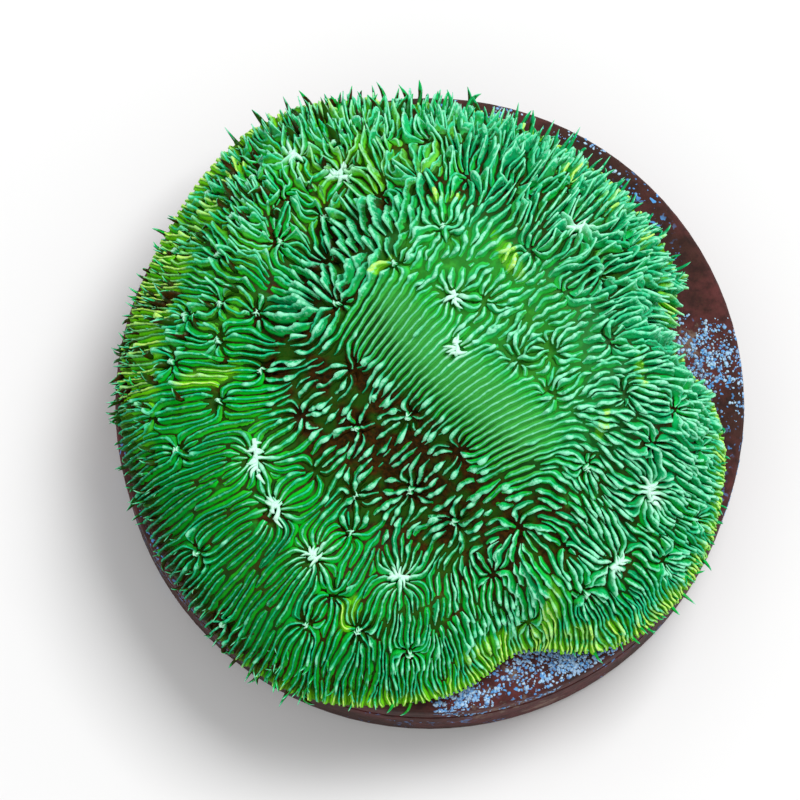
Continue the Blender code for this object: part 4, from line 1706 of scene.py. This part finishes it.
class CORAL_OT_crumbs(bpy.types.Operator):
    """Model the pale blue crumbs of crust on the bare parts of the disc"""
    bl_idname = "coral.crumbs"
    bl_label = "Crust crumbs"

    # Patches of crumbs: direction, half width in degrees, inner and outer radius, number.
    PATCHES = (
        (297.0, 15.0, 12.6, 15.7, 1900),
        (300.0, 24.0, 13.6, 15.8, 500),
        (276.0, 9.0, 14.6, 15.8, 420),
        (8.0, 12.0, 12.8, 15.8, 700),
        (50.0, 30.0, 14.6, 15.8, 60),
    )
    # Patches on the disc's side: direction, half width in degrees, lowest and highest, number.
    SIDE_PATCHES = (
        (146.0, 17.0, 4.65, 5.85, 170),
        (285.0, 30.0, 4.65, 5.85, 130),
        (355.0, 22.0, 4.65, 5.85, 110),
    )

    def execute(self, context):
        rng = np.random.default_rng(context.scene.coral_sizes.seed + 4)
        points, normals = [], []
        for direction, spread, inner, outer, number in self.PATCHES:
            angle, share = self.scatter(rng, direction, spread, number)
            radius = (inner + (outer - inner) * share) * MM
            over = np.maximum(radius - DISC_RADIUS + DISC_RIM_ROUNDING, 0.0) / DISC_RIM_ROUNDING
            level = np.sqrt(1 - over ** 2)
            height = DISC_THICKNESS - DISC_RIM_ROUNDING * (1 - level)
            points.append(round_axis(radius, angle, height))
            normals.append(round_axis(over, angle, level))
        for direction, spread, low, high, number in self.SIDE_PATCHES:
            angle, share = self.scatter(rng, direction, spread, number)
            points.append(round_axis(DISC_RADIUS, angle, (low + (high - low) * share) * MM))
            normals.append(round_axis(1.0, angle, np.zeros(number)))
        self.make(np.concatenate(points), np.concatenate(normals), rng, context)
        return {"FINISHED"}

    def scatter(self, rng, direction, spread, number):
        """Clustered directions, and shares from 0 to 1."""
        clusters = max(number // 9, 4)
        pick = rng.integers(0, clusters, number)
        turn = rng.normal(0.0, 0.45, clusters)[pick] + rng.normal(0.0, 0.05, number)
        share = rng.uniform(0.0, 1.0, clusters)[pick] + rng.normal(0.0, 0.10, number)
        return np.radians(direction + spread * turn), np.clip(share, 0.0, 1.0)

    def make(self, point, normal, rng, context):
        """Join all the crumbs in one mesh."""
        template = basic_mesh("crumb_template", bmesh.ops.create_icosphere, subdivisions=1, radius=1.0)
        count = len(point)
        mesh = array_of(template, count, "crust_crumbs")
        ball = read(template.vertices, "co", 3)
        lumps = 1 + 0.22 * rng.normal(size=(count, len(ball), 1))
        size = 0.5 * MM * rng.uniform(0.09, 0.32, (count, 1, 1)) ** 1.5
        shape = np.stack((rng.uniform(0.8, 1.5, count), rng.uniform(0.8, 1.5, count),
                          rng.uniform(0.35, 0.7, count)), axis=-1)[:, None, :]
        local = ball[None] * lumps * shape * size
        first = unit(np.cross(normal, rng.normal(size=(count, 3))))[:, None, :]
        second = np.cross(normal[:, None, :], first)
        co = (point[:, None, :] + first * local[..., :1] + second * local[..., 1:2]
              + normal[:, None, :] * local[..., 2:])
        write_points(mesh, co)
        paint(mesh, "tone", np.repeat(rng.uniform(0.0, 1.0, count), len(ball)))
        add_piece(context, "crust_crumbs", mesh, speck_finish, "crusted_ceramic")


class CORAL_OT_stage(bpy.types.Operator):
    """Set the floor, the lights and the camera"""
    bl_idname = "coral.stage"
    bl_label = "Stage"

    FLOOR_SIZE = 1.5
    FLOOR_COLOUR = (0.8, 0.8, 0.8, 1.0)
    SKY_COLOUR = (1.0, 1.0, 1.0, 1.0)
    # Place of each light, and the side of its square.
    KEY_PLACE = (0.11, 0.10, 0.28)
    KEY_SIZE = 0.15
    FILL_PLACE = (-0.22, -0.20, 0.22)
    FILL_SIZE = 0.22
    SENSOR_WIDTH = 36.0

    def execute(self, context):
        settings = context.scene.coral_stage
        scene = context.scene
        mesh = basic_mesh("floor", bmesh.ops.create_grid, x_segments=1, y_segments=1,
                          size=self.FLOOR_SIZE)
        floor = linked("floor", mesh)
        paper = Finish("floor_paper", None, Base_Color=self.FLOOR_COLOUR, Roughness=0.9,
                       Specular_IOR_Level=0.1)
        mesh.materials.append(paper.material)
        world = bpy.data.worlds.new("studio")
        scene.world = world
        world.use_nodes = True
        background = world.node_tree.nodes["Background"]
        background.inputs["Color"].default_value = self.SKY_COLOUR
        background.inputs["Strength"].default_value = settings.sky
        self.lamp("key_light", self.KEY_PLACE, self.KEY_SIZE, settings.key_power)
        self.lamp("fill_light", self.FILL_PLACE, self.FILL_SIZE, settings.fill_power)
        self.camera(scene, settings)
        scene.view_settings.view_transform = "Standard"
        return {"FINISHED"}

    def lamp(self, name, place, size, power):
        """A square area lamp aimed at the colony."""
        light = bpy.data.lights.new(name, "AREA")
        light.size = size
        light.energy = power
        obj = linked(name, light)
        obj.location = place
        obj.rotation_euler = (-Vector(place)).to_track_quat("-Z", "Y").to_euler()

    def camera(self, scene, settings):
        """A long lens looking steeply down from the front."""
        camera = bpy.data.cameras.new("camera")
        camera.sensor_width = self.SENSOR_WIDTH
        camera.lens = camera.sensor_width * settings.distance / settings.view_width
        camera.clip_start = 0.01
        obj = linked("camera", camera)
        target = Vector((-settings.view_shift, 0.0, DISC_THICKNESS))
        back = Vector((0.0, -math.cos(settings.elevation), math.sin(settings.elevation)))
        obj.location = target + back * settings.distance
        obj.rotation_euler = (-back).to_track_quat("-Z", "Y").to_euler()
        scene.camera = obj


class CORAL_PT_panel(bpy.types.Panel):
    """Settings and steps of the coral colony"""
    bl_label = "Coral colony"
    bl_idname = "CORAL_PT_panel"
    bl_space_type = "VIEW_3D"
    bl_region_type = "UI"
    bl_category = "Coral"

    def draw(self, context):
        for group in (context.scene.coral_sizes, context.scene.coral_colours,
                      context.scene.coral_stage):
            box = self.layout.box()
            for name in group.__annotations__:
                box.prop(group, name)
        for operator in STEPS:
            self.layout.operator(operator.bl_idname)


STEPS = (CORAL_OT_skin, CORAL_OT_ridges, CORAL_OT_stars, CORAL_OT_spikes, CORAL_OT_disc,
         CORAL_OT_crumbs, CORAL_OT_stage)
CLASSES = (CoralSizes, CoralColours, StageSettings, *STEPS, CORAL_PT_panel)
GROUPS = {"coral_sizes": CoralSizes, "coral_colours": CoralColours, "coral_stage": StageSettings}


def register():
    for cls in CLASSES:
        bpy.utils.register_class(cls)
    for name, group in GROUPS.items():
        setattr(bpy.types.Scene, name, PointerProperty(type=group))


def unregister():
    for name in GROUPS:
        delattr(bpy.types.Scene, name)
    for cls in reversed(CLASSES):
        bpy.utils.unregister_class(cls)


def main():
    """Make every piece in order."""
    register()
    bpy.ops.coral.skin()
    bpy.ops.coral.ridges()
    bpy.ops.coral.stars()
    bpy.ops.coral.spikes()
    bpy.ops.coral.disc()
    bpy.ops.coral.crumbs()
    bpy.ops.coral.stage()


if __name__ == "__main__":
    main()
